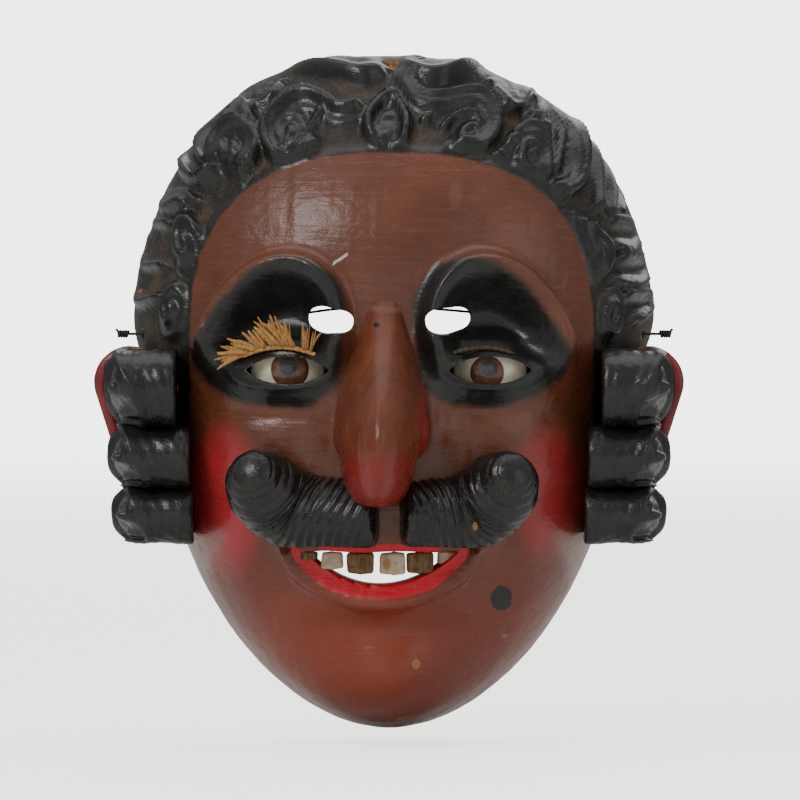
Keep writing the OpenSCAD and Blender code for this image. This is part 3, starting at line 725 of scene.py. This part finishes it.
def lash_point(side, turn, out, forward=0.0):
    """A point beside a lash strip. turn is the angle from the top of its arc, positive towards the ear,
    and out and forward are distances from its middle line."""
    left_x = 35.5
    x0 = left_x if side < 0 else 31.0
    depth = 77.8 + (left_x - x0) * math.tan(LASH_LEAN)
    u, w = (LASH_R + out) * np.sin(turn), (LASH_R + out) * np.cos(turn)
    x = x0 + u * math.cos(LASH_LEAN) + forward * math.sin(LASH_LEAN)
    y = -depth + u * math.sin(LASH_LEAN) - forward * math.cos(LASH_LEAN)
    return np.stack([side * x, y + 0 * w, w + LASH_MIDDLE_Z], -1)


def make_lash_strip(side):
    """A thin uneven roll of wax and fibre laid along the lid. The right one keeps only broken ends of
    lashes."""
    half = math.radians(28 if side < 0 else 22)
    turn = np.linspace(-half, half, 70)
    uneven = 1 + 0.12 * np.sin(turn * 90) + 0.08 * np.sin(turn * 211)
    radius = 0.78 * (1 - np.linspace(-1, 1, 70) ** 12 * 0.7) * uneven
    roll = tube(lash_point(side, turn, 0.0), radius, 12)
    if side < 0:
        return put_mesh("lash_roll_left", [roll])
    return put_mesh("lash_roll_right", [roll, *lash_stubs()])


# Tufts of lashes: place along the strip from -1 by the nose to 1 by the ear, how many, lean towards the ear
# in degrees, length
TUFTS = [
    (0.98, 8, 66, 8.5),
    (0.82, 6, 52, 8.5),
    (0.62, 6, 40, 9.0),
    (0.4, 5, 34, 7.5),
    (0.12, 7, 30, 11.0),
    (-0.08, 8, 26, 10.5),
    (-0.26, 6, 24, 8.5),
    (-0.58, 6, 4, 8.5),
    (-0.72, 4, 2, 7.5),
    (-0.94, 5, -24, 7.5),
]


def make_lashes():
    """Flat straw fibres in tufts: each is a tapering ribbon along a slightly bent line that leans from the
    strip."""
    r = np.random.default_rng(4)
    half = math.radians(27)
    blades = []
    for place_along, count, lean, length in TUFTS:
        for _ in range(count):
            turn = half * np.clip(place_along + r.normal(0, 0.045), -1, 1)
            tilt = math.radians(lean + r.normal(0, 7))
            reach = length * r.uniform(0.7, 1.08)
            t = np.linspace(0, 1, 8)
            bend = r.normal(0, 0.09)
            out = 0.5 + reach * t * math.cos(tilt + bend)
            sideways = reach * (t * math.sin(tilt) + bend * t**2)
            forward = 0.3 + reach * 0.42 * t + r.uniform(-0.25, 0.25)
            line = lash_point(-1, turn + sideways / (LASH_R + out), out, forward)
            radius = r.uniform(0.5, 0.95) * (1 - 0.7 * t**3)
            blades.append(tube(line, radius, 6, flat=0.4, twist=r.uniform(-0.5, 0.5)))
    return put_mesh("lash_blades", blades)


def lash_stubs():
    """Broken ends of lost lashes along the right strip."""
    r = np.random.default_rng(9)
    stubs = []
    for _ in range(16):
        turn = math.radians(r.uniform(-20, 20))
        t = np.linspace(0, 1, 4)
        line = lash_point(1, turn + 0.01 * t, 0.5 + r.uniform(0.5, 0.9, 4) * t, 0.4 + 0.5 * t)
        stubs.append(tube(line, 0.22 * (1 - 0.5 * t), 6, flat=0.5))
    return stubs


def make_wire():
    """The bail: an arch between the temples and straight ends through the holes, with small kinks from
    bending by hand."""
    x = np.linspace(-89, 92.6, 260)
    arch = 9 * np.clip(1 - (x / 62) ** 2, 0, 1)
    kink = (np.abs(x) < 60) * (0.12 * np.sin(x / 3.7) + 0.1 * np.sin(x / 8.3 + 1))
    path = np.stack([x, -TEMPLE_D + 0.6 * kink, TEMPLE_Z + arch + kink], -1)
    return put_mesh("wire_bail", [tube(path, WIRE_R, 12)])


def make_twists():
    """At each end the wire is wound four times round itself and cut off with a small hook."""
    parts = []
    for side in (-1, 1):
        t = np.linspace(0, 1, 130)
        angle = TAU * 4.2 * t
        start = 87.0 if side < 0 else 90.6
        y, z = -TEMPLE_D + 0.95 * np.cos(angle), TEMPLE_Z + 0.95 * np.sin(angle)
        coil = np.stack([start + 3.6 * t, y, z], -1)
        tail = coil[-1] + np.linspace(0, 1, 14)[1:, None] * np.array([[0.6, -0.25, 0.75]])
        path = np.concatenate([coil, tail]) * np.array([side, 1, 1])
        parts.append(tube(path, 0.42, 10))
    return put_mesh("wire_windings", parts)


# ---------------------------------------------------------------- paint
class Value:
    """A number or vector in a shader. The operators and methods add Math nodes to its material."""

    def __init__(self, paint, socket):
        self.paint = paint
        self.socket = socket

    def math(self, operation, first, second):
        return self.paint.add("ShaderNodeMath", {"operation": operation}, [first, second])

    def __add__(self, other):
        return self.math("ADD", self, other)

    __radd__ = __add__

    def __mul__(self, other):
        return self.math("MULTIPLY", self, other)

    __rmul__ = __mul__

    def __sub__(self, other):
        return self.math("SUBTRACT", self, other)

    def __rsub__(self, other):
        return self.math("SUBTRACT", other, self)

    def __truediv__(self, other):
        return self.math("DIVIDE", self, other)

    def __pow__(self, other):
        return self.math("POWER", self, other)

    def __abs__(self):
        return self.math("ABSOLUTE", self, 0.0)

    def most(self, other):
        return self.math("MAXIMUM", self, other)

    def least(self, other):
        return self.math("MINIMUM", self, other)

    def between(self, lo, hi):
        """0 at lo and 1 at hi, smooth in between; lo may be above hi."""
        return self.paint.add(
            "ShaderNodeMapRange", {"interpolation_type": "SMOOTHSTEP"}, {0: self, 1: lo, 2: hi}
        )


class Paint:
    """One material. add() makes a node; the other methods name the usual ones."""

    def __init__(self, name):
        self.material = bpy.data.materials.new(name)
        self.material.use_nodes = True
        self.tree = self.material.node_tree
        self.surface = self.tree.nodes["Principled BSDF"]
        where = self.add("ShaderNodeTexCoord", output="Object")
        self.place = self.vector("MULTIPLY", where, (1 / MM,) * 3)
        self.x, self.y, self.z = (self.add("ShaderNodeSeparateXYZ", {}, [self.place], k) for k in range(3))

    def add(self, kind, settings=None, inputs=None, output=0):
        node = self.tree.nodes.new(kind)
        for key, value in (settings or {}).items():
            setattr(node, key, value)
        pairs = inputs.items() if isinstance(inputs, dict) else enumerate(inputs or [])
        for key, value in pairs:
            self.join(node.inputs[key], value)
        return Value(self, node.outputs[output])

    def join(self, socket, value):
        if isinstance(value, Value):
            self.tree.links.new(value.socket, socket)
        elif hasattr(value, "__len__") and len(value) == 3 and socket.type == "RGBA":
            socket.default_value = (*value, 1)
        else:
            socket.default_value = value

    def vector(self, operation, first, second):
        return self.add("ShaderNodeVectorMath", {"operation": operation}, [first, second])

    def noise(self, size, stretch=(1, 1, 1), seed=0.0, detail=3.0, rough=0.55):
        """Clouds between 0 and 1 whose patches are about size millimetres, made longer by stretch."""
        step = tuple(1 / (size * k) for k in stretch)
        where = self.vector(
            "ADD", self.vector("MULTIPLY", self.place, step), (seed, seed * 1.7, seed * 0.6)
        )
        return self.add(
            "ShaderNodeTexNoise", {}, {"Vector": where, "Scale": 1.0, "Detail": detail, "Roughness": rough}
        )

    def cells(self, size, seed=0.0):
        """Distance to the nearest of scattered points about size millimetres apart."""
        where = self.vector("ADD", self.vector("MULTIPLY", self.place, (1 / size,) * 3), (seed, seed, seed))
        return self.add("ShaderNodeTexVoronoi", {}, {"Vector": where, "Scale": 1.0})

    def field(self, name):
        return self.add("ShaderNodeAttribute", {"attribute_name": name}, output="Fac")

    def mix(self, mask, below, above):
        return self.add("ShaderNodeMix", {"data_type": "RGBA"}, {0: mask, 6: below, 7: above}, 2)

    def patch(self, cx, cz, rx, rz):
        """Squared distance from (cx, cz) in half sizes: 1 on the edge of an oval."""
        return ((self.x - cx) / rx) ** 2.0 + ((self.z - cz) / rz) ** 2.0

    def finish(self, colour, roughness, height=None, metallic=0.0, coat=0.0, specular=0.5):
        """Joins colour and roughness to the surface, and height in millimetres to its bump."""
        self.join(self.surface.inputs["Base Color"], colour)
        self.join(self.surface.inputs["Roughness"], roughness)
        self.surface.inputs["Metallic"].default_value = metallic
        self.surface.inputs["Coat Weight"].default_value = coat
        self.surface.inputs["Coat Roughness"].default_value = 0.12
        self.surface.inputs["Specular IOR Level"].default_value = specular
        if height is not None:
            bump = self.add("ShaderNodeBump", {}, {"Height": height, "Distance": MM, "Strength": 1.0})
            self.join(self.surface.inputs["Normal"], bump)
        return self.material


SKIN = (0.16, 0.045, 0.019)
SKIN_DARK = (0.11, 0.03, 0.0135)
SKIN_RED = (0.23, 0.03, 0.01)
BLUSH = (0.52, 0.022, 0.036)
LIP_RED = (0.6, 0.003, 0.014)
BLACK = (0.0085, 0.008, 0.0075)
DUST = (0.12, 0.075, 0.038)
CHIP_WOOD = (0.36, 0.15, 0.05)
RAW_WOOD = (0.42, 0.25, 0.12)
OLD_WOOD = (0.2, 0.105, 0.05)


def wood_colour(p):
    """Bare carved wood: pale and dark grain running up the block, dirt in patches."""
    grain = p.noise(2.2, (1, 1, 14), 3.0, 4.0)
    stain = p.noise(26, (1, 1, 1.6), 8.0)
    wood = p.mix(grain.between(0.35, 0.7), RAW_WOOD, OLD_WOOD)
    return p.mix(stain.between(0.42, 0.7) * 0.75, wood, (0.07, 0.038, 0.02)), grain


def black_coat(p, lift, dust):
    """Black enamel, a little grey where it is thin, with earth-coloured dust where dust is high."""
    cloud = p.noise(7, seed=5.0)
    black = p.mix(cloud.between(0.35, 0.75) * lift, BLACK, (0.021, 0.02, 0.018))
    return p.mix(dust, black, DUST)


def chips(p, size, seed, share):
    """Small spots where enamel has come off; a larger share gives more of them."""
    spot = p.cells(size, seed)
    some = p.noise(size * 2.5, seed=seed + 2)
    return spot.between(0.17, 0.1) * some.between(1 - share, 1.02 - share)


def skin_colour(p, ragged, soft, strokes, cloud):
    """Brown-red enamel, redder towards the chin, with blushed cheeks, a painted highlight low on the chin,
    painted sheen with blue-grey scuffs on the jaws, and a few marks.
    """
    skin = p.mix(cloud.between(0.3, 0.72), SKIN, SKIN_DARK)
    skin = p.mix(p.z.between(-30, -85) * 0.75, skin, SKIN_RED)
    skin = p.mix(strokes.between(0.45, 0.8) * 0.3, skin, (0.21, 0.085, 0.05))
    left = p.patch(-55, -36, 13, 25).between(1.5, 0.25) * 0.95
    right = p.patch(53, -33, 12, 21).between(1.6, 0.25) * 0.7
    skin = p.mix((left + right).least(1.0) * (0.75 + soft * 0.6), skin, BLUSH)
    # Painted highlight: a brighter red patch low on the chin, left of the middle
    chin = p.patch(-16, -84, 30, 20).between(1.8, 0.2) * 0.4
    skin = p.mix(chin, skin, (0.33, 0.05, 0.016))
    # Painted sheen: a pale greyish-pink band down each side of the jaw, with blue-grey scuffs laid in it
    painted_jaw_sheen = (abs(p.x) + p.z * 0.42).between(32, 38) * p.z.between(-44, -52) * p.z.between(-88, -66)
    skin = p.mix(painted_jaw_sheen * (0.4 + cloud * 0.6), skin, (0.36, 0.22, 0.17))
    blotch = p.noise(4.5, (1.2, 1.2, 2), 12.0).between(0.5, 0.6)
    slate = blotch * painted_jaw_sheen * p.noise(14, seed=14.0).between(0.45, 0.55)
    skin = p.mix(slate * 0.8, skin, (0.065, 0.08, 0.08))
    scuff = p.patch(22, 66, 2.6, 5).between(1.4, 0.1) * 0.13
    skin = p.mix(scuff, skin, (0.36, 0.2, 0.1))
    dent = p.patch(-51.3, 52.2, 1.4, 0.9).between(1.3, 0.6)
    skin = p.mix(dent, skin, SKIN_DARK)
    beside_scratch = abs(p.z - 44.8 - (p.x + 16) * 0.65 + ragged)
    scratch = beside_scratch.between(0.75, 0.3) * abs(p.x + 16).between(2.8, 2.0)
    return p.mix(scratch, skin, (0.6, 0.52, 0.46))


def lip_mask(p, lip, ragged):
    """The painted lips: a band below the mouth that thins at its corners, and a line above the teeth."""
    corner = abs(p.x - MOUTH_X).between(15, 31) * 3.2
    lower = (lip + corner + ragged * 0.8).between(4.9, 4.3) * (lip + ragged * 0.5).between(-2.5, -1.8)
    upper = (abs(p.x - MOUTH_X) + ragged * 2).between(20.5, 19) * abs(p.z + 51.3).between(2.2, 1.6)
    return lower.most(upper * p.y.between(-72, -74))


# Single chips: the middle and half sizes of an oval, and the squared distances where the chip begins and
# is full
HEAD_CHIPS = [
    (9, -89.5, 1.5, 1.8, 1.2, 0.7),
    (6, -108.8, 3.4, 0.8, 1.3, 0.7),
    (38.7, -81.2, 1.1, 0.8, 1.3, 0.7),
]
HORN_CHIPS = [
    (-23, -24.5, 2.6, 0.9, 1.2, 0.7),
    (4.7, -50.5, 1.6, 1.1, 1.2, 0.7),
    (28.4, -43, 0.9, 1.6, 1.2, 0.6),
]


def add_chips(p, raw, places):
    """The mask raw with single chips added to it."""
    for cx, cz, rx, rz, begins, full in places:
        raw = raw.most(p.patch(cx, cz, rx, rz).between(begins, full))
    return raw


def paint_head():
    p = Paint("enamelled_head")
    inside, groove, hair, eye, lip = (p.field(k) for k in ("inside", "groove", "hair", "eye_zone", "lip"))
    ragged = p.noise(3.2, seed=1.0, detail=4.0) - 0.5
    soft = p.noise(9, seed=2.0) - 0.5
    strokes = p.noise(1.1, (16, 3, 1), 4.0, 3.0)
    speck = p.noise(0.9, seed=6.0, detail=2.0)
    cloud = p.noise(24, seed=7.0)

    skin = skin_colour(p, ragged, soft, strokes, cloud)
    skin = p.mix(lip_mask(p, lip, ragged), skin, LIP_RED)

    cheek_spot = (p.patch(37.3, -68.2, 3.6, 4.2) + ragged * 0.7).between(1.15, 0.85)
    round_eyes = (eye + ragged * 1.2 + soft * 4.0).between(-1.6, 1.6)
    hair_edge = (hair + ragged * 1.4 + soft * 1.5).between(-0.7, 0.5)
    black = round_eyes.most(hair_edge).most(cheek_spot)
    dirt = groove * (speck + soft).between(0.35, 0.8) * 0.7
    colour = p.mix(black, skin, black_coat(p, 0.6, dirt))
    raw = add_chips(p, chips(p, 11, 3.0, 0.36) * hair.between(2, 5), HEAD_CHIPS)
    colour = p.mix(raw, colour, CHIP_WOOD)
    from_tie_line = (p.x**2.0 + (p.y + p.z - TIE_LINE) ** 2.0 * 0.5) ** 0.5
    colour = p.mix(from_tie_line.between(TIE_HOLE_R + 0.7, TIE_HOLE_R + 0.1), colour, CHIP_WOOD)

    wood, grain = wood_colour(p)
    # Painted shade: bare wood nearer the face, on the walls of the openings and at the front of the hollow,
    # is darkened almost to black
    wood = p.mix(p.y.between(-62, -68), wood, (0.03, 0.017, 0.012))
    bare = inside.between(0.3, 0.7).most(p.y.between(-0.9, -0.35))
    colour = p.mix(bare, colour, wood)

    shine = 0.3 + (strokes - 0.5) * 0.16 + (cloud - 0.5) * 0.2
    shine = shine + black * (cloud - 0.5) * 0.2 + raw * 0.4 + bare * 0.4 + dirt * 0.2 + groove * 0.35
    comb = p.noise(0.8, (5, 5, 1.4), 15.0, 2.0)
    height = strokes * 0.13 + p.noise(3.5, seed=16.0) * 0.22 + comb * 0.1 * hair_edge - raw * 0.2
    height = height + bare * grain * 0.35 + p.noise(0.6, seed=18.0, detail=1.0) * 0.035
    return p.finish(colour, shine, height, specular=0.55)


def paint_nose():
    p = Paint("enamelled_nose_skin")
    ragged = p.noise(4, seed=1.0) - 0.5
    strokes = p.noise(1.2, (1.2, 2, 14), 4.0)
    cloud = p.noise(15, seed=7.0)
    skin = p.mix(cloud.between(0.3, 0.75), (0.175, 0.047, 0.02), (0.12, 0.03, 0.014))
    skin = p.mix(strokes.between(0.5, 0.8) * 0.35, skin, (0.25, 0.1, 0.06))
    tip = (p.z + ragged * 9).between(-13, -25)
    wing = abs(p.x + 4.2).between(12.2, 15.5) * p.z.between(2, -4)
    skin = p.mix(tip.most(wing) * 0.85, skin, (0.27, 0.024, 0.021))
    red_dot = p.patch(-5.7, -22.8, 1.0, 1.0).between(1.4, 0.6)
    skin = p.mix(red_dot, skin, (0.3, 0.01, 0.012))
    dark_dot = p.patch(-4, 23.2, 1.1, 0.8).between(1.3, 0.7)
    skin = p.mix(dark_dot, skin, (0.01, 0.006, 0.005))
    # Glue seams: a pale putty line across the bridge, and down the right side a pale line that is partly
    # the seam and partly a painted highlight on its ridge
    bridge_seam = abs(p.z - 28.2 + ragged * 2).between(1.3, 0.5) * 0.2
    side_seam_and_highlight = abs(p.x - 12.6 + p.z * 0.16).between(0.5, 0.2) * p.z.between(-22, -12) * 0.6
    seams_and_highlight = bridge_seam.most(side_seam_and_highlight)
    skin = p.mix(seams_and_highlight, skin, (0.33, 0.2, 0.13))
    shine = 0.36 - p.z.between(-4, -14) * 0.1 + (strokes - 0.5) * 0.18 + seams_and_highlight * 0.3
    height = strokes * 0.08 + p.noise(4, seed=16.0) * 0.25 + p.noise(0.6, seed=18.0, detail=1.0) * 0.03
    return p.finish(skin, shine, height, specular=0.38)


def paint_black(name, worn=False, upright=False):
    """Black enamel on carved wood, brushed upright or level, chipped to orange wood in a few places."""
    p = Paint(name)
    strokes = p.noise(1.0, (2, 2, 9) if upright else (3, 3, 1.5), 4.0, 3.0)
    cloud = p.noise(12, seed=7.0)
    speck = p.noise(1.2, seed=6.0)
    dirt = speck.between(0.56, 0.7) * cloud.between(0.4, 0.75) * 0.45
    colour = black_coat(p, 0.5, dirt)
    raw = chips(p, 9, 21.0, 0.3)
    if worn:
        raw = add_chips(p, raw, HORN_CHIPS)
    colour = p.mix(raw, colour, CHIP_WOOD)
    shine = 0.29 + (strokes - 0.5) * 0.25 + (cloud - 0.5) * 0.2 + raw * 0.4
    height = strokes * 0.16 + p.noise(2.6, seed=16.0) * 0.25
    height = height + p.noise(0.6, seed=18.0, detail=1.0) * 0.04 - raw * 0.2
    return p.finish(colour, shine, height, specular=0.55)


def paint_ear():
    p = Paint("red_ear_enamel")
    cloud = p.noise(9, seed=7.0)
    ragged = p.noise(2.2, seed=1.0) - 0.5
    red = p.mix(cloud.between(0.3, 0.75), (0.27, 0.026, 0.028), (0.17, 0.018, 0.018))
    wood, grain = wood_colour(p)
    wood = p.mix(0.5, wood, CHIP_WOOD)
    bare = (abs(p.x) + ragged * 3).between(86.5, 84) * p.z.between(6, 9)
    bare = bare.most((p.z + ragged * 3).between(-24.5, -26)).most(chips(p, 8, 2.0, 0.3))
    bare = bare.most((p.y + ragged).between(-28, -27.2))
    height = p.noise(3, seed=16.0) * 0.2 + grain * bare * 0.3
    return p.finish(p.mix(bare, red, wood), 0.3 + (cloud - 0.5) * 0.2 + bare * 0.35, height)


def paint_tooth(name, gold):
    p = Paint(name)
    cloud = p.noise(2.6, seed=7.0)
    streak = p.noise(0.9, (1, 1, 6), 3.0)
    speck = p.noise(1.0, seed=9.0)
    if gold:
        colour = p.mix(streak.between(0.3, 0.75), (0.26, 0.135, 0.042), (0.09, 0.045, 0.018))
        colour = p.mix(cloud.between(0.52, 0.75), colour, (0.05, 0.026, 0.014))
        shine, metal = 0.42 + cloud * 0.2, 0.25
    else:
        colour = p.mix(cloud.between(0.35, 0.8), (0.62, 0.47, 0.33), (0.43, 0.26, 0.14))
        stain = p.patch(-0.6, -56, 1.4, 2.0).between(1.6, 0.3)
        stain = stain.most(p.patch(21.6, -53, 2.0, 3.0).between(1.5, 0.4))
        colour = p.mix(stain * 0.8, colour, (0.33, 0.15, 0.025))
        colour = p.mix(speck.between(0.6, 0.7) * 0.35, colour, (0.35, 0.06, 0.05))
        shine, metal = 0.42 + cloud * 0.2, 0.0
    edge = p.z.between(-51.2, -52.6)
    colour = p.mix((1 - edge) * 0.7, colour, (0.08, 0.02, 0.012))
    return p.finish(colour, shine, streak * 0.12 + cloud * 0.2, metallic=metal)


def paint_eye(side):
    """A glazed eye: cream white, a brown iris with a dark edge and a grey-black pupil, and painted shade
    towards the lids."""
    p = Paint("glazed_eye_left" if side < 0 else "glazed_eye_right")
    ix, iz, ir, pr = (-32.7, 8.2, 6.3, 2.9) if side < 0 else (32.5, 7.2, 5.6, 2.7)
    px, pz = (ix - 0.6, iz + 1.0) if side < 0 else (ix + 0.7, iz + 1.4)
    ragged = p.noise(1.6, seed=1.0) - 0.5
    cloud = p.noise(5, seed=7.0)
    from_iris = ((p.x - ix) ** 2.0 + (p.z - iz) ** 2.0) ** 0.5
    from_pupil = ((p.x - px) ** 2.0 + (p.z - pz) ** 2.0) ** 0.5
    cream = (0.95, 0.88, 0.66) if side < 0 else (0.85, 0.78, 0.6)
    white = p.mix(cloud.between(0.35, 0.8), cream, (0.66, 0.55, 0.38))
    # Painted shade: the white darkens towards the lids, where they overhang the glass
    painted_lid_shade = abs(p.z - EYE_Z).between(3.9, 5.2).most(abs(p.x - side * EYE_X).between(10.8, 13.4))
    white = p.mix((painted_lid_shade + ragged * 0.5).least(1.0) * 0.85, white, (0.06, 0.03, 0.018))
    iris = p.mix(p.noise(2.0, seed=5.0).between(0.3, 0.7), (0.11, 0.033, 0.016), (0.17, 0.06, 0.03))
    iris = p.mix(from_iris.between(ir - 1.3, ir - 0.1) * 0.5, iris, (0.04, 0.015, 0.01))
    colour = p.mix((from_iris + ragged * 0.3).between(ir + 0.15, ir - 0.15), white, iris)
    pupil = p.mix(cloud.between(0.4, 0.7), (0.006, 0.006, 0.007), (0.022, 0.025, 0.029))
    colour = p.mix((from_pupil + ragged * 0.5).between(pr + 0.5, pr - 0.5), colour, pupil)
    specks = p.cells(2.4, 4.0).between(0.12, 0.05)
    colour = p.mix(specks * 0.5, colour, (0.08, 0.05, 0.03))
    return p.finish(colour, 0.16 + cloud * 0.1, p.noise(3, seed=16.0) * 0.05, coat=0.6)


def paint_wax():
    p = Paint("dark_wax")
    cloud = p.noise(5, seed=7.0)
    return p.finish(p.mix(cloud, (0.1, 0.055, 0.028), (0.05, 0.027, 0.015)), 0.5 + cloud * 0.2, cloud * 0.4)


def paint_fibre(name, worn):
    p = Paint(name)
    streak = p.noise(0.5, (1, 1, 8), 3.0)
    cloud = p.noise(6, seed=7.0)
    pale, deep = (0.62, 0.33, 0.1), (0.36, 0.15, 0.035)
    if worn:
        pale, deep = (0.1, 0.06, 0.03), (0.03, 0.02, 0.013)
    colour = p.mix(streak.between(0.3, 0.7), pale, deep)
    return p.finish(p.mix(cloud.between(0.55, 0.8) * 0.4, colour, deep), 0.6, streak * 0.08)


def paint_wire():
    p = Paint("dark_iron_wire")
    rust = p.noise(2.5, seed=7.0)
    colour = p.mix(rust.between(0.45, 0.7), (0.055, 0.05, 0.046), (0.085, 0.045, 0.025))
    return p.finish(colour, 0.42 + rust * 0.2, p.noise(0.7, (4, 1, 1), 3.0) * 0.06, metallic=0.7)


def paint_peg():
    p = Paint("peg_wood")
    wood, grain = wood_colour(p)
    return p.finish(wood, 0.62 + grain * 0.15, grain * 0.3)


# ---------------------------------------------------------------- camera, light and floor
def make_camera():
    """A long lens in front of the face and a little above it."""
    data = bpy.data.cameras.new("camera")
    data.sensor_width = 36
    distance, width = 4.0, 0.2667
    data.lens = 36 * distance / width
    data.clip_end = 50
    camera = bpy.data.objects.new("camera", data)
    bpy.context.scene.collection.objects.link(camera)
    target = Vector((0.0037, -0.04, -0.0028))
    lift = math.radians(1.5)
    camera.location = target + Vector((0, -math.cos(lift), math.sin(lift))) * distance
    camera.rotation_euler = (target - camera.location).to_track_quat("-Z", "Y").to_euler()
    bpy.context.scene.camera = camera


def area_light(name, position, target, size, power, colour=(1, 1, 1)):
    data = bpy.data.lights.new(name, "AREA")
    data.shape = "RECTANGLE"
    data.size, data.size_y = size
    data.energy = power
    data.color = colour
    light = bpy.data.objects.new(name, data)
    light.location = position
    light.rotation_euler = (Vector(target) - Vector(position)).to_track_quat("-Z", "Y").to_euler()
    bpy.context.scene.collection.objects.link(light)


def make_studio():
    """A room that is dim low down and brighter overhead, seen pale by the camera, with soft boxes on the
    left, on the right, in front, above and behind."""
    world = bpy.data.worlds.new("studio")
    bpy.context.scene.world = world
    world.use_nodes = True
    tree = world.node_tree
    tree.nodes.clear()
    where = tree.nodes.new("ShaderNodeTexCoord")
    split = tree.nodes.new("ShaderNodeSeparateXYZ")
    ramp = tree.nodes.new("ShaderNodeValToRGB")
    ramp.color_ramp.elements[0].position = 0.35
    ramp.color_ramp.elements[0].color = (0.11, 0.107, 0.104, 1)
    ramp.color_ramp.elements[1].position = 0.8
    ramp.color_ramp.elements[1].color = (0.5, 0.505, 0.51, 1)
    half = tree.nodes.new("ShaderNodeMath")
    half.operation = "MULTIPLY_ADD"
    half.inputs[1].default_value = 0.5
    half.inputs[2].default_value = 0.5
    room = tree.nodes.new("ShaderNodeBackground")
    shown = tree.nodes.new("ShaderNodeBackground")
    shown.inputs["Color"].default_value = (4.1, 4.2, 4.05, 1)
    path = tree.nodes.new("ShaderNodeLightPath")
    choose = tree.nodes.new("ShaderNodeMixShader")
    out = tree.nodes.new("ShaderNodeOutputWorld")
    tree.links.new(where.outputs["Generated"], split.inputs[0])
    tree.links.new(split.outputs[2], half.inputs[0])
    tree.links.new(half.outputs[0], ramp.inputs[0])
    tree.links.new(ramp.outputs[0], room.inputs["Color"])
    tree.links.new(path.outputs["Is Camera Ray"], choose.inputs[0])
    tree.links.new(room.outputs[0], choose.inputs[1])
    tree.links.new(shown.outputs[0], choose.inputs[2])
    tree.links.new(choose.outputs[0], out.inputs[0])
    area_light("key", (-0.9, -1.3, 1.1), (0, -0.05, 0), (0.7, 0.7), 12.5)
    area_light("fill", (1.3, -1.2, 0.5), (0, -0.05, 0), (1.0, 1.2), 3.0)
    area_light("front", (-0.3, -2.2, -0.1), (0, -0.05, -0.02), (1.4, 1.0), 3.5)
    area_light("top", (0, 0.1, 1.4), (0, -0.05, 0), (1.6, 1.0), 6)
    area_light("back", (0.5, 1.4, 0.9), (0, 0, 0), (1.4, 1.0), 6)


def make_floor():
    """A pale round floor just under the chin."""
    a = np.linspace(0, TAU, 96, endpoint=False)
    corners = [(200, FLOOR_Z), (9000, FLOOR_Z), (9000, FLOOR_Z - 22), (200, FLOOR_Z - 22)]
    rings = [np.stack([r * np.cos(a), r * np.sin(a), 0 * a + z], -1) for r, z in corners]
    floor = put_mesh("floor", [np.stack(rings)])
    p = Paint("floor_paper")
    cloud = p.noise(300, seed=2.0)
    far = ((p.x / 1000) ** 2.0 + (p.y / 1000) ** 2.0).between(0.2, 12)
    glow = p.mix(far, (1.95, 2.0, 1.88), (3.9, 4.0, 3.85))
    floor.data.materials.append(p.finish(p.mix(cloud, (0.8, 0.81, 0.79), (0.77, 0.78, 0.76)), 0.7))
    light = p.add("ShaderNodeEmission", {}, {"Color": glow, "Strength": 1.0})
    both = p.add("ShaderNodeAddShader", {}, [Value(p, p.surface.outputs[0]), light])
    shown = p.add("ShaderNodeLightPath", output="Is Camera Ray")
    seen = p.add("ShaderNodeMixShader", {}, [shown, Value(p, p.surface.outputs[0]), both])
    p.join(p.tree.nodes["Material Output"].inputs["Surface"], seen)


# ---------------------------------------------------------------- the whole mask
make_camera()
make_studio()
make_floor()

black_horn = paint_black("moustache_enamel", worn=True)
black_roll = paint_black("sideburn_enamel", upright=True)
gold = paint_tooth("gold_tooth_paint", True)
cream = paint_tooth("cream_tooth_paint", False)
pegs = paint_peg()
wax = paint_wax()
wire = paint_wire()

head = make_head()
add_fields(head)
place(head, "mask", "enamelled_wood", paint_head(), "mask_shell")
place(make_nose(), "mask", "enamelled_nose", paint_nose(), "nose")
ear_paint = paint_ear()
for side, word in ((-1, "left"), (1, "right")):
    place(make_moustache(side), "mask", "black_enamel", black_horn, f"moustache_{word}")
    place(make_sideburn(side), "mask", "black_enamel", black_roll, f"sideburn_{word}")
    place(make_ear(side), "mask", "red_enamel", ear_paint, f"ear_{word}")
    place(make_eye(side), "mask", "eye_glaze", paint_eye(side), f"glass_eye_{word}")
for k in range(len(TOOTH_X)):
    slot, finish = ("gold_paint", gold) if k % 2 == 0 else ("cream_paint", cream)
    place(make_tooth(k), "mask", slot, finish, f"tooth_{k + 1}")
place(make_lash_strip(-1), "mask", "plant_fibre", paint_fibre("straw_strip", False), "lash_strip_left")
place(make_lashes(), "mask", "plant_fibre", paint_fibre("straw_lashes", False), "lash_fibres_left")
place(make_lash_strip(1), "mask", "plant_fibre", paint_fibre("worn_strip", True), "lash_strip_right")
place(make_wire(), "wire", "dark_wire", wire, "hanging_wire")
place(make_twists(), "wire", "dark_wire", wire, "wire_twists")
# Pieces that keep their frame shape and only get a finish
finishes = {"nose_pegs": pegs, "moustache_pegs": pegs, "sideburn_pegs": pegs, "ear_pegs": pegs}
finishes |= {"wax_seat_left": wax, "wax_seat_right": wax}
for name, material in finishes.items():
    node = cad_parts[name]
    node.data.materials.clear()
    node.data.materials.append(material)
